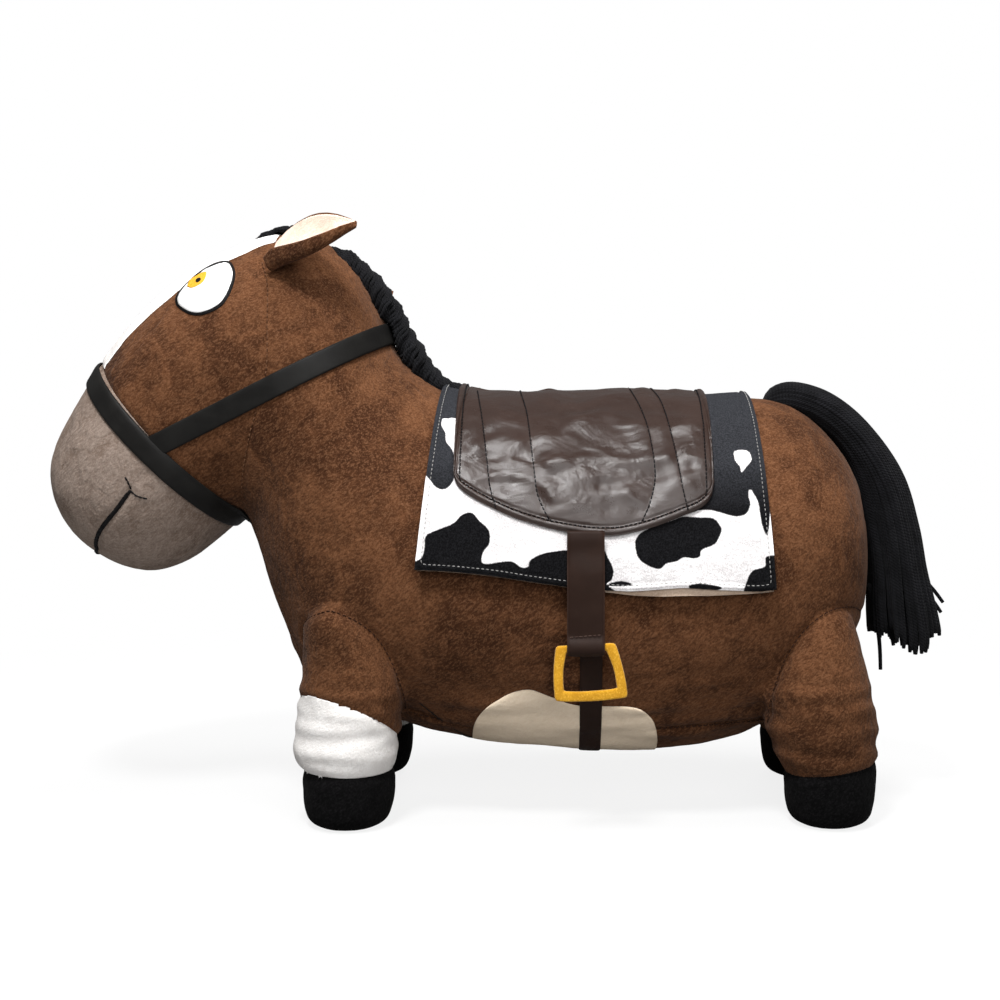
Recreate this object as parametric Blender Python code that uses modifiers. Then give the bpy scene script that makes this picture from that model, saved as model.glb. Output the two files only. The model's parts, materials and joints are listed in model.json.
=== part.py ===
"""A plush toy horse that stands on four short stuffed legs, with a yarn mane and tail, a strap
bridle, and a cow-print blanket, saddle, girth and hanging stirrups.

Metres, +Z up. The head points to -X, the horse's left side is -Y, and z = 0 is the floor.
"""

import math

import bmesh
import bpy
from mathutils import Matrix, Vector
from mathutils.bvhtree import BVHTree

# Stuffed skin: one sweep from the muzzle's tip to the rump, cut into panels at its seams
BODY_LENGTH = 0.607
BODY_HEIGHT = 0.426
BODY_WIDTH = 0.224
MUZZLE_TIP_X = -0.334
SKIN_SIDES = 24
SKIN_STEPS = 2
SEAM_GAP = 0.0004
FAR = 1.0

# One row for each section: its top and bottom points in the middle plane, as shares of the body's
# length from the muzzle's tip and of its height, and its width as a share of the body's.
MUZZLE_SECTION_SHARES = [
    ((0.018, 0.487), (0.048, 0.440), 0.125),
    ((0.006, 0.533), (0.082, 0.411), 0.290),
    ((0.004, 0.584), (0.121, 0.397), 0.450),
    ((0.016, 0.639), (0.159, 0.408), 0.575),
    ((0.037, 0.696), (0.197, 0.440), 0.640),
    ((0.068, 0.762), (0.243, 0.497), 0.660),
]
HEAD_SECTION_SHARES = [
    ((0.117, 0.852), (0.2445, 0.4955), 0.690),
    ((0.185, 0.931), (0.2455, 0.4940), 0.710),
    ((0.266, 0.980), (0.2470, 0.4910), 0.733),
]
NECK_SECTION_SHARES = [
    ((0.328, 0.9765), (0.2490, 0.481), 0.750),
    ((0.377, 0.925), (0.2555, 0.456), 0.770),
    ((0.407, 0.849), (0.2620, 0.425), 0.800),
    ((0.424, 0.785), (0.2715, 0.384), 0.835),
    ((0.451, 0.744), (0.2815, 0.343), 0.875),
    ((0.488, 0.711), (0.2950, 0.2936), 0.920),
]
TORSO_SECTION_SHARES = [
    ((0.534, 0.6965), (0.313, 0.2226), 0.950),
    ((0.577, 0.6935), (0.352, 0.1737), 0.975),
    ((0.621, 0.6925), (0.429, 0.1373), 0.990),
    ((0.664, 0.6925), (0.522, 0.1075), 1.000),
    ((0.713, 0.6925), (0.614, 0.0927), 1.000),
    ((0.763, 0.6935), (0.707, 0.0864), 1.000),
    ((0.812, 0.6955), (0.794, 0.0974), 0.980),
    ((0.862, 0.6985), (0.868, 0.1268), 0.955),
    ((0.905, 0.689), (0.923, 0.1714), 0.900),
    ((0.946, 0.648), (0.963, 0.2376), 0.800),
    ((0.975, 0.597), (0.985, 0.292), 0.635),
    ((0.991, 0.543), (0.996, 0.352), 0.400),
    ((0.999, 0.490), (1.000, 0.420), 0.160),
]

# Legs: a stuffed column of flat sections, cut into hoof, stocking and upper leg
LEG_SPACING = 0.144
LEG_WIDTH = 0.077
LEG_HEIGHT = 0.165
FRONT_LEG_X = -0.1035
REAR_LEG_X = 0.230
LEG_SIDES = 20
LEG_STEPS = 2
HOOF_HEIGHT = 0.039
STOCKING_HEIGHT = 0.075
FOOT_FLAT = 0.0005
# One row for each level: height as a share of the leg's, offset along X and outwards and the
# section's two widths, as shares of the leg's width
FRONT_LEG_LEVEL_SHARES = [
    (0.000, 0.01, 0.03, 0.50, 0.50),
    (0.030, 0.01, 0.03, 0.72, 0.72),
    (0.100, 0.01, 0.03, 0.82, 0.82),
    (0.190, 0.01, 0.03, 0.84, 0.84),
    (0.236, 0.01, 0.03, 0.83, 0.83),
    (0.310, -0.01, 0.03, 0.94, 0.93),
    (0.450, 0.03, 0.03, 0.97, 0.97),
    (0.600, 0.07, 0.04, 0.94, 0.95),
    (0.750, 0.01, 0.05, 0.80, 0.88),
    (0.880, -0.07, 0.12, 0.56, 0.74),
    (0.950, -0.06, 0.18, 0.24, 0.40),
]
REAR_LEG_LEVEL_SHARES = [
    (0.000, 0.095, -0.03, 0.50, 0.50),
    (0.030, 0.095, -0.03, 0.72, 0.72),
    (0.100, 0.095, -0.03, 0.82, 0.82),
    (0.190, 0.095, -0.03, 0.84, 0.84),
    (0.250, 0.080, -0.03, 0.86, 0.84),
    (0.320, 0.045, -0.02, 0.95, 0.93),
    (0.450, 0.000, -0.01, 1.04, 0.99),
    (0.600, -0.020, 0.01, 0.96, 0.96),
    (0.750, 0.000, 0.02, 0.75, 0.84),
    (0.880, 0.040, 0.03, 0.50, 0.66),
    (0.950, 0.060, 0.04, 0.22, 0.36),
]
# Seams that lean: how much they rise towards the head and outwards, and the rear hoof's forwards
STOCKING_LEAN_SHARES = (0.38, 0.40)
REAR_HOOF_LEAN_SHARE = -0.13

# Eyes: a felt disc cut straight along the brow, with an iris and a pupil on it
EYE_RADIUS = 0.022
EYE_PLACE_SHARES = (0.209, 0.887)
EYE_FACING = (-0.45, -0.716, 0.535)
EYE_BROW_SHARE = 0.74
IRIS_RADIUS = 0.0087
IRIS_RISE = 0.0105
PUPIL_RADIUS = 0.0028
FELT_THICKNESS = 0.0012
FELT_LIFT = 0.0005
BLAZE_WIDTH = 0.074
# The blaze's half-width as a share of its greatest, from the noseband up to the forelock
BLAZE_WIDTH_SHARES = (0.76, 0.86, 0.94, 1.00, 1.00, 0.98, 0.92, 0.84)
BLAZE_PIVOT_SHARES = (0.262, 0.604)
BLAZE_LOW_SHARES = (0.0745, 0.781)
BLAZE_HIGH_SHARES = (0.237, 0.969)
BLAZE_COLUMNS = 6

# Belly patch: a light panel seen from below, its outline as shares of its length and girth reach
PATCH_LENGTH = 0.128
PATCH_REACH_SHARE = 0.415
PATCH_X = 0.051
PATCH_LIFT = 0.0016
PATCH_RINGS = 7
PATCH_OUTLINE_SHARES = [
    (-0.52, 0.00), (-0.52, 0.45), (-0.51, 0.78), (-0.485, 0.88), (-0.39, 0.965), (-0.24, 1.02),
    (-0.09, 0.993), (0.05, 0.95), (0.18, 0.947), (0.34, 0.945), (0.44, 0.91), (0.485, 0.83),
    (0.50, 0.50), (0.50, 0.00),
]

# Ears: a cupped leaf with a lining, hinged on the seam at its root
EAR_LENGTH = 0.080
EAR_WIDTH = 0.050
EAR_THICKNESS = 0.0055
EAR_CUP = 0.009
EAR_PLACE_SHARES = (0.289, 0.925)
EAR_POINTING = (0.818, -0.483, 0.312)
EAR_WIDTH_SHARES = (0.42, 0.70, 0.92, 1.00, 0.98, 0.86, 0.64, 0.32, 0.08)
EAR_COLUMNS = 6
EAR_ROOT_GAP = 0.0006
RIGHT_EAR_DROOP_DEGREES = 46
LINING_SHARE = 0.80
LINING_THICKNESS = 0.0015

# Yarn mane, forelock and tail, as the outer shape of each bundle
MANE_WIDTH = 0.036
MANE_HEIGHT = 0.026
MANE_PATH_SHARES = [
    (0.322, 0.950), (0.341, 0.944), (0.362, 0.932), (0.385, 0.905), (0.400, 0.878),
    (0.413, 0.852), (0.425, 0.816), (0.443, 0.772), (0.458, 0.742), (0.4725, 0.722),
]
FORELOCK_WIDTH = 0.030
FORELOCK_HEIGHT = 0.010
FORELOCK_PATH_SHARES = [(0.305, 0.994), (0.290, 0.992), (0.268, 0.981), (0.248, 0.969)]
MANE_TAPER_SHARES = (0.55, 0.60)
FORELOCK_TAPER_SHARES = (0.70, 1.00, 1.00, 0.60)
YARN_SIDES = 12
YARN_STEPS = 2
TAIL_WIDTH = 0.060
TAIL_SIDES = 16
# The tail's inner and outer points in the middle plane and its width as a share, root to tip
TAIL_SECTION_SHARES = [
    ((0.8880, 0.6830), (0.8890, 0.7150), 0.26),
    ((0.9140, 0.6840), (0.9180, 0.7250), 0.42),
    ((0.9520, 0.6590), (0.9621, 0.7054), 0.66),
    ((0.9815, 0.6115), (1.0066, 0.6550), 0.84),
    ((0.9990, 0.5420), (1.0511, 0.5705), 0.95),
    ((1.0060, 0.4648), (1.0717, 0.4789), 1.00),
    ((1.0085, 0.4014), (1.0807, 0.4014), 1.00),
    ((1.0085, 0.3357), (1.0906, 0.3404), 1.00),
    ((1.0105, 0.2841), (1.0967, 0.2911), 0.92),
    ((1.0247, 0.2465), (1.0741, 0.2512), 0.50),
]

# Bridle and girth straps
STRAP_THICKNESS = 0.0020
STRAP_LIFT = 0.0008
BRIDLE_WIDTH = 0.016
NOSEBAND_LINE_SHARES = ((0.056, 0.745), (0.237, 0.489))
CHEEK_LINE_SHARES = ((0.1637, 0.629), (0.428, 0.818))
STRAP_STEPS = 32
GIRTH_WIDTH = 0.0155
GIRTH_STEPS = 32
GIRTH_REACH_DEGREES = 97
GIRTH_LIFT = PATCH_LIFT + FELT_THICKNESS + STRAP_LIFT
GIRTH_X = 0.068
GIRTH_HEIGHT_SHARE = 0.3897

# Saddle blanket, its lining and the saddle, draped over the back
CLOTH_GAP = 0.0004
LINING_CLOTH = 0.0012
BLANKET_CLOTH = 0.0022
BLANKET_FRONT_X = -0.040
BLANKET_REAR_X = 0.186
BLANKET_HEM_SHARE = 0.4061
BLANKET_COLUMNS = 8
BLANKET_ROWS = 20
BLANKET_FLARES = (0.0125, 0.0080)
CREST_LIFT = 0.0012
HEM_CURVE = 4
FLARE_CURVE = 1.4
LINING_INSET = 0.003
SADDLE_THICKNESS = 0.0030
SADDLE_FRONT_X = -0.028
SADDLE_REAR_X = 0.154
SADDLE_HEM_SHARE = 0.4789
# How far down the saddle's lower edge comes at places along it, as shares of its greatest
SADDLE_EDGE_SHARES = (0.60, 0.80, 0.885, 0.945, 0.985, 1.00, 0.985, 0.90, 0.62)
SADDLE_ROWS = 18

# Stirrups: a hanging leather with a sewn loop, and a felt stirrup that swings in the loop
LEATHER_X = 0.064
LEATHER_WIDTH = 0.0255
LEATHER_THICKNESS = 0.0024
STIRRUP_HEIGHT = 0.037
STIRRUP_THICKNESS = 0.0040
STIRRUP_BAR = 0.0068
STIRRUP_TOP_BAR = 0.0048
STIRRUP_TOP_GAP = 0.0006
STIRRUP_SPLAY = 0.0045
STIRRUP_CORNER = 0.0022
LOOP_CLEARANCE = 0.0004
LOOP_WALL = 0.0018
LEATHER_LENGTH = 0.0713
LOOP_STEPS = 20
CURVE_STEPS = 3


def plain_material(name, colour, roughness):
    """A non-metallic material with that linear colour."""
    material = bpy.data.materials.new(name)
    material.use_nodes = True
    shader = material.node_tree.nodes["Principled BSDF"]
    shader.inputs["Base Color"].default_value = (*colour, 1)
    shader.inputs["Roughness"].default_value = roughness
    shader.inputs["Metallic"].default_value = 0
    return material


def clear_scene():
    for obj in list(bpy.data.objects):
        bpy.data.objects.remove(obj)


clear_scene()
horse = bpy.data.collections.new("plush_horse")
cutters = bpy.data.collections.new("cutters")
for made_collection in (horse, cutters):
    bpy.context.scene.collection.children.link(made_collection)

BROWN_PLUSH = plain_material("brown_plush", (0.115, 0.046, 0.020), 0.95)
GREY_PLUSH = plain_material("grey_plush", (0.24, 0.20, 0.175), 0.95)
WHITE_PLUSH = plain_material("white_plush", (0.80, 0.79, 0.78), 0.95)
CREAM_PLUSH = plain_material("cream_plush", (0.55, 0.47, 0.38), 0.95)
PINK_PLUSH = plain_material("pink_plush", (0.80, 0.62, 0.53), 0.95)
BLACK_PLUSH = plain_material("black_plush", (0.008, 0.008, 0.009), 0.95)
BLACK_YARN = plain_material("black_yarn", (0.006, 0.006, 0.008), 0.90)
BLACK_STRAP = plain_material("black_strap", (0.014, 0.015, 0.016), 0.45)
WHITE_FELT = plain_material("white_felt", (0.86, 0.86, 0.86), 0.80)
YELLOW_FELT = plain_material("yellow_felt", (0.72, 0.38, 0.03), 0.85)
BLACK_FELT = plain_material("black_felt", (0.01, 0.01, 0.01), 0.80)
BROWN_LEATHER = plain_material("brown_leather", (0.045, 0.026, 0.021), 0.35)
COW_PLUSH = plain_material("cow_plush", (0.70, 0.69, 0.69), 0.90)


def skin_place(shares):
    """A point of the middle plane from its shares of the body's length and height."""
    along, up = shares
    return Vector((MUZZLE_TIP_X + along * BODY_LENGTH, 0, up * BODY_HEIGHT))


def add_mesh(name, points, faces, material, collection=horse):
    """A mesh object with its normals turned outwards."""
    mesh = bpy.data.meshes.new(name)
    form = bmesh.new()
    corners = [form.verts.new(point) for point in points]
    for face in faces:
        form.faces.new([corners[i] for i in face])
    bmesh.ops.recalc_face_normals(form, faces=form.faces)
    bmesh.ops.triangulate(form, faces=form.faces)
    form.to_mesh(mesh)
    form.free()
    obj = bpy.data.objects.new(name, mesh)
    collection.objects.link(obj)
    mesh.materials.append(material)
    mesh.shade_smooth()
    return obj


def hide_helper(obj):
    obj.hide_render = True
    obj.display_type = "WIRE"


def bake(obj):
    """Replaces a mesh or curve object by a mesh of what its modifiers make of it."""
    bpy.context.view_layer.update()
    graph = bpy.context.evaluated_depsgraph_get()
    mesh = bpy.data.meshes.new_from_object(obj.evaluated_get(graph))
    name = obj.name
    place = obj.matrix_world.copy()
    collection = obj.users_collection[0]
    bpy.data.objects.remove(obj)
    form = bmesh.new()
    form.from_mesh(mesh)
    bmesh.ops.remove_doubles(form, verts=form.verts, dist=SEAM_GAP / 40)
    bmesh.ops.triangulate(form, faces=form.faces)
    form.transform(place)
    form.to_mesh(mesh)
    form.free()
    baked = bpy.data.objects.new(name, mesh)
    collection.objects.link(baked)
    return baked


def loft(name, rings, material, collection=horse):
    """A closed skin through rings of as many points each, with a flat face on each end."""
    sides = len(rings[0])
    points = [point for ring in rings for point in ring]
    faces = []
    for row in range(len(rings) - 1):
        for k in range(sides):
            after = (k + 1) % sides
            low, high = row * sides, (row + 1) * sides
            faces.append((low + k, low + after, high + after, high + k))
    last = (len(rings) - 1) * sides
    faces.append(tuple(range(sides)))
    faces.append(tuple(last + k for k in range(sides)))
    return add_mesh(name, points, faces, material, collection)


def between(before, start, end, after, share):
    """A point of the smooth curve through four values, between the middle two."""
    bend = (2 * before - 5 * start + 4 * end - after) * share
    return start + share / 2 * ((end - before) + bend + (3 * (start - end) + after - before) * share**2)


def smoothed(rows, steps):
    """Rows of points or vectors with others between them, along smooth curves through them."""
    last = len(rows) - 1
    dense = []
    for step in range(last * steps + 1):
        first = min(step // steps, last - 1)
        near = [rows[min(max(first + k, 0), last)] for k in (-1, 0, 1, 2)]
        share = step / steps - first
        dense.append([between(*values, share) for values in zip(*near)])
    return dense


def oval(centre, up, side, sides):
    """Points round an oval with up and side as its half-axes."""
    turns = [math.tau * k / sides for k in range(sides)]
    return [centre + up * math.cos(turn) + side * math.sin(turn) for turn in turns]


def sweep_rings(section_shares, width, sides, steps):
    """Rings along a smooth run through sections that have a top, a bottom and a share of width."""
    rows = [
        (skin_place(top), skin_place(bottom), Vector((0, share * width / 2, 0)))
        for top, bottom, share in section_shares
    ]
    return [
        oval((top + bottom) / 2, (top - bottom) / 2, side, sides)
        for top, bottom, side in smoothed(rows, steps)
    ]


def seam_plane(seam_shares):
    """A seam's top point and its plane's normal, which points towards the rump."""
    top, bottom = (skin_place(shares) for shares in seam_shares[:2])
    return top, Vector((0, 1, 0)).cross(bottom - top).normalized() * -1


def slice_of(source, name, material, planes):
    """The part of a mesh in front of every (point, normal) plane, with its cuts closed."""
    form = bmesh.new()
    form.from_mesh(source.data)
    for point, normal in planes:
        every = form.verts[:] + form.edges[:] + form.faces[:]
        cut = bmesh.ops.bisect_plane(
            form, geom=every, plane_co=point, plane_no=normal, clear_inner=True
        )
        edges = [part for part in cut["geom_cut"] if isinstance(part, bmesh.types.BMEdge)]
        bmesh.ops.contextual_create(form, geom=edges)
    bmesh.ops.recalc_face_normals(form, faces=form.faces)
    mesh = bpy.data.meshes.new(name)
    form.to_mesh(mesh)
    form.free()
    mesh.materials.clear()
    mesh.materials.append(material)
    obj = bpy.data.objects.new(name, mesh)
    horse.objects.link(obj)
    return obj


def grown(source, distance):
    """A hidden cutter: the mesh with its surface moved out by distance."""
    form = bmesh.new()
    form.from_mesh(source.data)
    form.normal_update()
    moved = [(corner, corner.co + corner.normal * distance) for corner in form.verts]
    for corner, place in moved:
        corner.co = place
    mesh = bpy.data.meshes.new(source.name + "_cutter")
    form.to_mesh(mesh)
    form.free()
    cutter = bpy.data.objects.new(mesh.name, mesh)
    cutters.objects.link(cutter)
    hide_helper(cutter)
    return cutter


def cut_by(obj, *tools):
    """Cuts each tool's shape out of the object."""
    for tool in tools:
        cut = obj.modifiers.new("cut_by_" + tool.name, "BOOLEAN")
        cut.operation = "DIFFERENCE"
        cut.solver = "EXACT"
        cut.object = tool


def mirrored(source, name):
    """The same piece on the horse's other side."""
    mesh = source.data.copy()
    form = bmesh.new()
    form.from_mesh(mesh)
    form.transform(Matrix.Diagonal((1, -1, 1, 1)))
    bmesh.ops.reverse_faces(form, faces=form.faces)
    form.to_mesh(mesh)
    form.free()
    obj = bpy.data.objects.new(name, mesh)
    horse.objects.link(obj)
    return obj


def surface_of(*objects):
    """A tree of the objects' faces, for finding where their surface lies."""
    points, faces = [], []
    for obj in objects:
        first = len(points)
        points += [corner.co.copy() for corner in obj.data.vertices]
        faces += [[first + i for i in face.vertices] for face in obj.data.polygons]
    return BVHTree.FromPolygons(points, faces)


def outermost(surface, centre, outwards):
    """The surface's outermost point on the ray from centre, and its normal there."""
    place, normal, _, _ = surface.ray_cast(centre + outwards * FAR, -outwards)
    if place is None:
        raise ValueError("a ray missed the surface")
    return place, normal


def thicken(obj, thickness):
    """Gives an open surface its thickness, all of it on the outer side."""
    shell = obj.modifiers.new("thickness", "SOLIDIFY")
    shell.thickness = thickness
    shell.offset = 1
    shell.use_even_offset = True
    return bake(obj)


def facing_out(obj, centre):
    """Turns an open surface's faces away from centre."""
    form = bmesh.new()
    form.from_mesh(obj.data)
    form.normal_update()
    facing = sum((face.calc_center_median() - centre).dot(face.normal) for face in form.faces)
    if facing < 0:
        bmesh.ops.reverse_faces(form, faces=form.faces)
    form.to_mesh(obj.data)
    form.free()


def sheet(name, rows, centre, thickness, material):
    """A sheet with thickness over a grid of points, facing away from centre."""
    columns = len(rows[0])
    points = [point for row in rows for point in row]
    faces = [
        (r * columns + c, r * columns + c + 1, (r + 1) * columns + c + 1, (r + 1) * columns + c)
        for r in range(len(rows) - 1)
        for c in range(columns - 1)
    ]
    obj = add_mesh(name, points, faces, material)
    facing_out(obj, centre)
    return thicken(obj, thickness)


def make_skin():
    """Muzzle, head, neck and torso, cut from one sweep so that their surfaces run on."""
    parts = (
        ("muzzle", MUZZLE_SECTION_SHARES, GREY_PLUSH),
        ("head", HEAD_SECTION_SHARES, BROWN_PLUSH),
        ("neck", NECK_SECTION_SHARES, BROWN_PLUSH),
        ("torso", TORSO_SECTION_SHARES, BROWN_PLUSH),
    )
    every = [section for _, sections, _ in parts for section in sections]
    rings = sweep_rings(every, BODY_WIDTH, SKIN_SIDES, SKIN_STEPS)
    whole = loft("skin", rings, BROWN_PLUSH, cutters)
    hide_helper(whole)
    pieces = {}
    first = 0
    for name, sections, material in parts:
        last = every.index(sections[-1]) * SKIN_STEPS
        own = [list(ring) for ring in rings[first : last + 1]]
        for end, seam, side in ((0, first, 1), (-1, last, -1)):
            if 0 < seam < len(rings) - 1:
                _, normal = seam_plane(every[seam // SKIN_STEPS])
                own[end] = [point + normal * side * SEAM_GAP / 2 for point in own[end]]
        pieces[name] = loft(name, own, material)
        first = last
    return whole, pieces


def make_leg(place, leg_x, level_shares, hoof_lean, stocking, skin_cutter):
    """A left leg as separate pieces, and the same leg on the right."""
    rows = []
    for height, along, outwards, length, width in level_shares:
        x = leg_x + along * LEG_WIDTH
        y = -LEG_SPACING / 2 - outwards * LEG_WIDTH
        z = height * LEG_HEIGHT - FOOT_FLAT
        up = Vector((length * LEG_WIDTH / 2, 0, 0))
        rows.append((Vector((x, y, z)), up, Vector((0, width * LEG_WIDTH / 2, 0))))
    rings = [oval(*row, LEG_SIDES) for row in smoothed(rows, LEG_STEPS)]
    whole = loft("leg_" + place, rings, BROWN_PLUSH, cutters)
    hide_helper(whole)
    floor = (Vector((0, 0, 0)), Vector((0, 0, 1)))
    hoof_normal = Vector((-hoof_lean, 0, 1)).normalized() if hoof_lean else Vector((0, 0, 1))
    hoof_seam = Vector((leg_x, 0, HOOF_HEIGHT))
    levels = [(hoof_seam, hoof_normal)]
    names = ["hoof_" + place, "leg_" + place]
    materials = [BLACK_PLUSH, BROWN_PLUSH]
    if stocking:
        ahead, outwards = STOCKING_LEAN_SHARES
        lean = Vector((ahead, outwards, 1)).normalized()
        levels.append((Vector((leg_x, -LEG_SPACING / 2, STOCKING_HEIGHT)), lean))
        names.insert(1, "stocking_" + place)
        materials.insert(1, WHITE_PLUSH)
    for i, name in enumerate(names):
        planes = [floor]
        if i > 0:
            point, normal = levels[i - 1]
            planes = [(point + normal * SEAM_GAP / 2, normal)]
        if i < len(levels):
            point, normal = levels[i]
            planes.append((point - normal * SEAM_GAP / 2, -normal))
        piece = slice_of(whole, name + "_left", materials[i], planes)
        if i > 0:
            cut_by(piece, skin_cutter)
            piece = bake(piece)
        mirrored(piece, name + "_right")


def patch_points(surface, centre, facing, up, outline, lift, rings):
    """Points of a patch on the surface: its centre, then rings out to the outline."""
    across = up.cross(facing).normalized()
    rise = facing.cross(across).normalized()
    points = []
    places = [(0, 0)]
    for k in range(1, rings + 1):
        places += [(u * k / rings, v * k / rings) for u, v in outline]
    for u, v in places:
        start = centre + across * u + rise * v
        place, normal = outermost(surface, start, facing)
        points.append(place + normal * lift)
    return points


def patch(name, surface, centre, facing, up, outline, lift, thickness, material, rings=2):
    """A thin felt or plush patch that lies on the surface."""
    count = len(outline)
    points = patch_points(surface, centre, facing, up, outline, lift, rings)
    faces = [(0, 1 + k, 1 + (k + 1) % count) for k in range(count)]
    for ring in range(rings - 1):
        low, high = 1 + ring * count, 1 + (ring + 1) * count
        for k in range(count):
            after = (k + 1) % count
            faces.append((low + k, low + after, high + after, high + k))
    obj = add_mesh(name, points, faces, material)
    facing_out(obj, centre - facing * FAR)
    return thicken(obj, thickness)


def disc_outline(radius, middle, brow, steps):
    """A circle round (0, middle), flattened where it would rise past brow."""
    turns = [math.tau * k / steps for k in range(steps)]
    return [
        (radius * math.cos(turn), min(middle + radius * math.sin(turn), brow)) for turn in turns
    ]


def make_eyes(head, skin_cutter):
    """White of the eye, iris and pupil, each lying on the last."""
    facing = Vector(EYE_FACING).normalized()
    place, _ = outermost(
        surface_of(head), skin_place(EYE_PLACE_SHARES), Vector((0, -1, 0))
    )
    up = facing.cross(Vector((0, 1, 0))).cross(facing)
    brow = EYE_RADIUS * EYE_BROW_SHARE
    rims = [
        ("eye", EYE_RADIUS, 0, brow, 20, WHITE_FELT),
        ("iris", IRIS_RADIUS, IRIS_RISE, brow - FELT_THICKNESS, 14, YELLOW_FELT),
        ("pupil", PUPIL_RADIUS, IRIS_RISE, brow, 10, BLACK_FELT),
    ]
    below = head
    for name, radius, middle, brow_height, steps, material in rims:
        outline = disc_outline(radius, 0, brow_height - middle, steps)
        across = up.cross(facing).normalized()
        rise = facing.cross(across).normalized()
        centre = place + rise * middle
        piece = patch(
            name + "_left", surface_of(below), centre, facing, up, outline,
            FELT_LIFT, FELT_THICKNESS, material,
        )
        if below is head:
            cut_by(piece, skin_cutter)
            piece = bake(piece)
        mirrored(piece, name + "_right")
        below = piece


def make_blaze(head, muzzle, skin_cutter):
    """The white panel down the forehead, from the forelock to the noseband."""
    surface = surface_of(head, muzzle)
    pivot = skin_place(BLAZE_PIVOT_SHARES)
    low = skin_place(BLAZE_LOW_SHARES) - pivot
    high = skin_place(BLAZE_HIGH_SHARES) - pivot
    rows = []
    steps = len(BLAZE_WIDTH_SHARES) - 1
    for i, width_share in enumerate(BLAZE_WIDTH_SHARES):
        outwards = low.slerp(high, i / steps).normalized()
        row = []
        for k in range(BLAZE_COLUMNS + 1):
            side = (2 * k / BLAZE_COLUMNS - 1) * width_share * BLAZE_WIDTH / 2
            place, _ = outermost(surface, pivot + Vector((0, side, 0)), outwards)
            row.append(place + outwards * FELT_LIFT)
        rows.append(row)
    blaze = sheet("blaze", rows, pivot, FELT_THICKNESS, WHITE_PLUSH)
    cut_by(blaze, skin_cutter)
    return bake(blaze)


def make_belly_patch(torso, skin_cutter):
    """The light patch under the belly, the same on both flanks."""
    surface = surface_of(torso)
    reach = PATCH_REACH_SHARE * BODY_WIDTH
    half = [(x * PATCH_LENGTH, y * reach) for x, y in PATCH_OUTLINE_SHARES]
    outline = half + [(x, -y) for x, y in reversed(half[1:-1])]
    piece = patch(
        "belly_patch", surface, Vector((PATCH_X, 0, 0)), Vector((0, 0, -1)), Vector((0, -1, 0)),
        outline, PATCH_LIFT, FELT_THICKNESS, CREAM_PLUSH, PATCH_RINGS,
    )
    cut_by(piece, skin_cutter)
    return bake(piece)


def ear_leaf(root, pointing, across, size, rise, first, last):
    """Rows of points over a cupped leaf, from its root to its tip."""
    inner_facing = pointing.cross(across)
    rows = []
    steps = len(EAR_WIDTH_SHARES) - 1
    for i in range(first, last + 1):
        along = i / steps
        half_share = EAR_WIDTH_SHARES[i] * size
        row = []
        for k in range(EAR_COLUMNS + 1):
            side = (2 * k / EAR_COLUMNS - 1) * half_share
            cup = EAR_CUP * side**2 * math.sin(math.pi * along) + rise
            out = across * side * EAR_WIDTH / 2 + inner_facing * cup
            row.append(root + pointing * along * EAR_LENGTH + out)
        rows.append(row)
    return rows


def make_ear(ending, root, pointing, across):
    """An outer leaf and the lining on its inner face."""
    below = root - pointing.cross(across) * FAR
    steps = len(EAR_WIDTH_SHARES) - 1
    half = EAR_THICKNESS / 2
    rows = ear_leaf(root, pointing, across, 1, -half, 0, steps)
    outer = sheet("ear_" + ending, rows, below, EAR_THICKNESS, BROWN_PLUSH)
    rows = ear_leaf(root, pointing, across, LINING_SHARE, half + SEAM_GAP, 1, steps - 1)
    lining = sheet("ear_lining_" + ending, rows, below, LINING_THICKNESS, PINK_PLUSH)
    cut_by(lining, grown(outer, SEAM_GAP))
    return outer, bake(lining)


def make_ears(surface, skin_cutter):
    """Both ears: the left stands out behind, and the right hangs lower over the neck."""
    place, normal = outermost(surface, skin_place(EAR_PLACE_SHARES), Vector((0, -1, 0)))
    pointing = Vector(EAR_POINTING).normalized()
    across = normal.cross(pointing).normalized()
    root = place + normal * (EAR_THICKNESS / 2 + EAR_ROOT_GAP)
    make_ear("left", root, pointing, across)
    drooped = Matrix.Rotation(math.radians(RIGHT_EAR_DROOP_DEGREES), 3, across) @ pointing
    outer, lining = make_ear("drooped", root, drooped, across)
    cut_by(outer, skin_cutter)
    for piece in (bake(outer), lining):
        mirrored(piece, piece.name.replace("drooped", "right"))
        bpy.data.objects.remove(piece)
    return root, across


def tube_along(name, path, half_width, half_height, tapers):
    """A soft tube along a path in the middle plane, narrowed at each point as tapers says."""
    rows = []
    last = len(path) - 1
    for i, place in enumerate(path):
        ahead = (path[min(i + 1, last)] - path[max(i - 1, 0)]).normalized()
        up = ahead.cross(Vector((0, -1, 0))) * half_height * tapers[i]
        rows.append((place, up, Vector((0, half_width * tapers[i], 0))))
    rings = [oval(*row, YARN_SIDES) for row in smoothed(rows, YARN_STEPS)]
    return loft(name, rings, BLACK_YARN)


def make_mane(cutting):
    """The mane's bundle on the crest and the forelock between the ears."""
    path = [skin_place(shares) for shares in MANE_PATH_SHARES]
    first, last = MANE_TAPER_SHARES
    tapers = [first] + [1] * (len(path) - 2) + [last]
    mane = tube_along("mane", path, MANE_WIDTH / 2, MANE_HEIGHT / 2, tapers)
    cut_by(mane, *cutting)
    bake(mane)


def make_forelock(cutting):
    path = [skin_place(shares) for shares in FORELOCK_PATH_SHARES]
    forelock = tube_along(
        "forelock", path, FORELOCK_WIDTH / 2, FORELOCK_HEIGHT / 2, FORELOCK_TAPER_SHARES
    )
    cut_by(forelock, *cutting)
    bake(forelock)


def make_tail(cutting):
    rings = sweep_rings(TAIL_SECTION_SHARES, TAIL_WIDTH, TAIL_SIDES, SKIN_STEPS)
    tail = loft("tail", rings, BLACK_YARN)
    cut_by(tail, *cutting)
    bake(tail)


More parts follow.
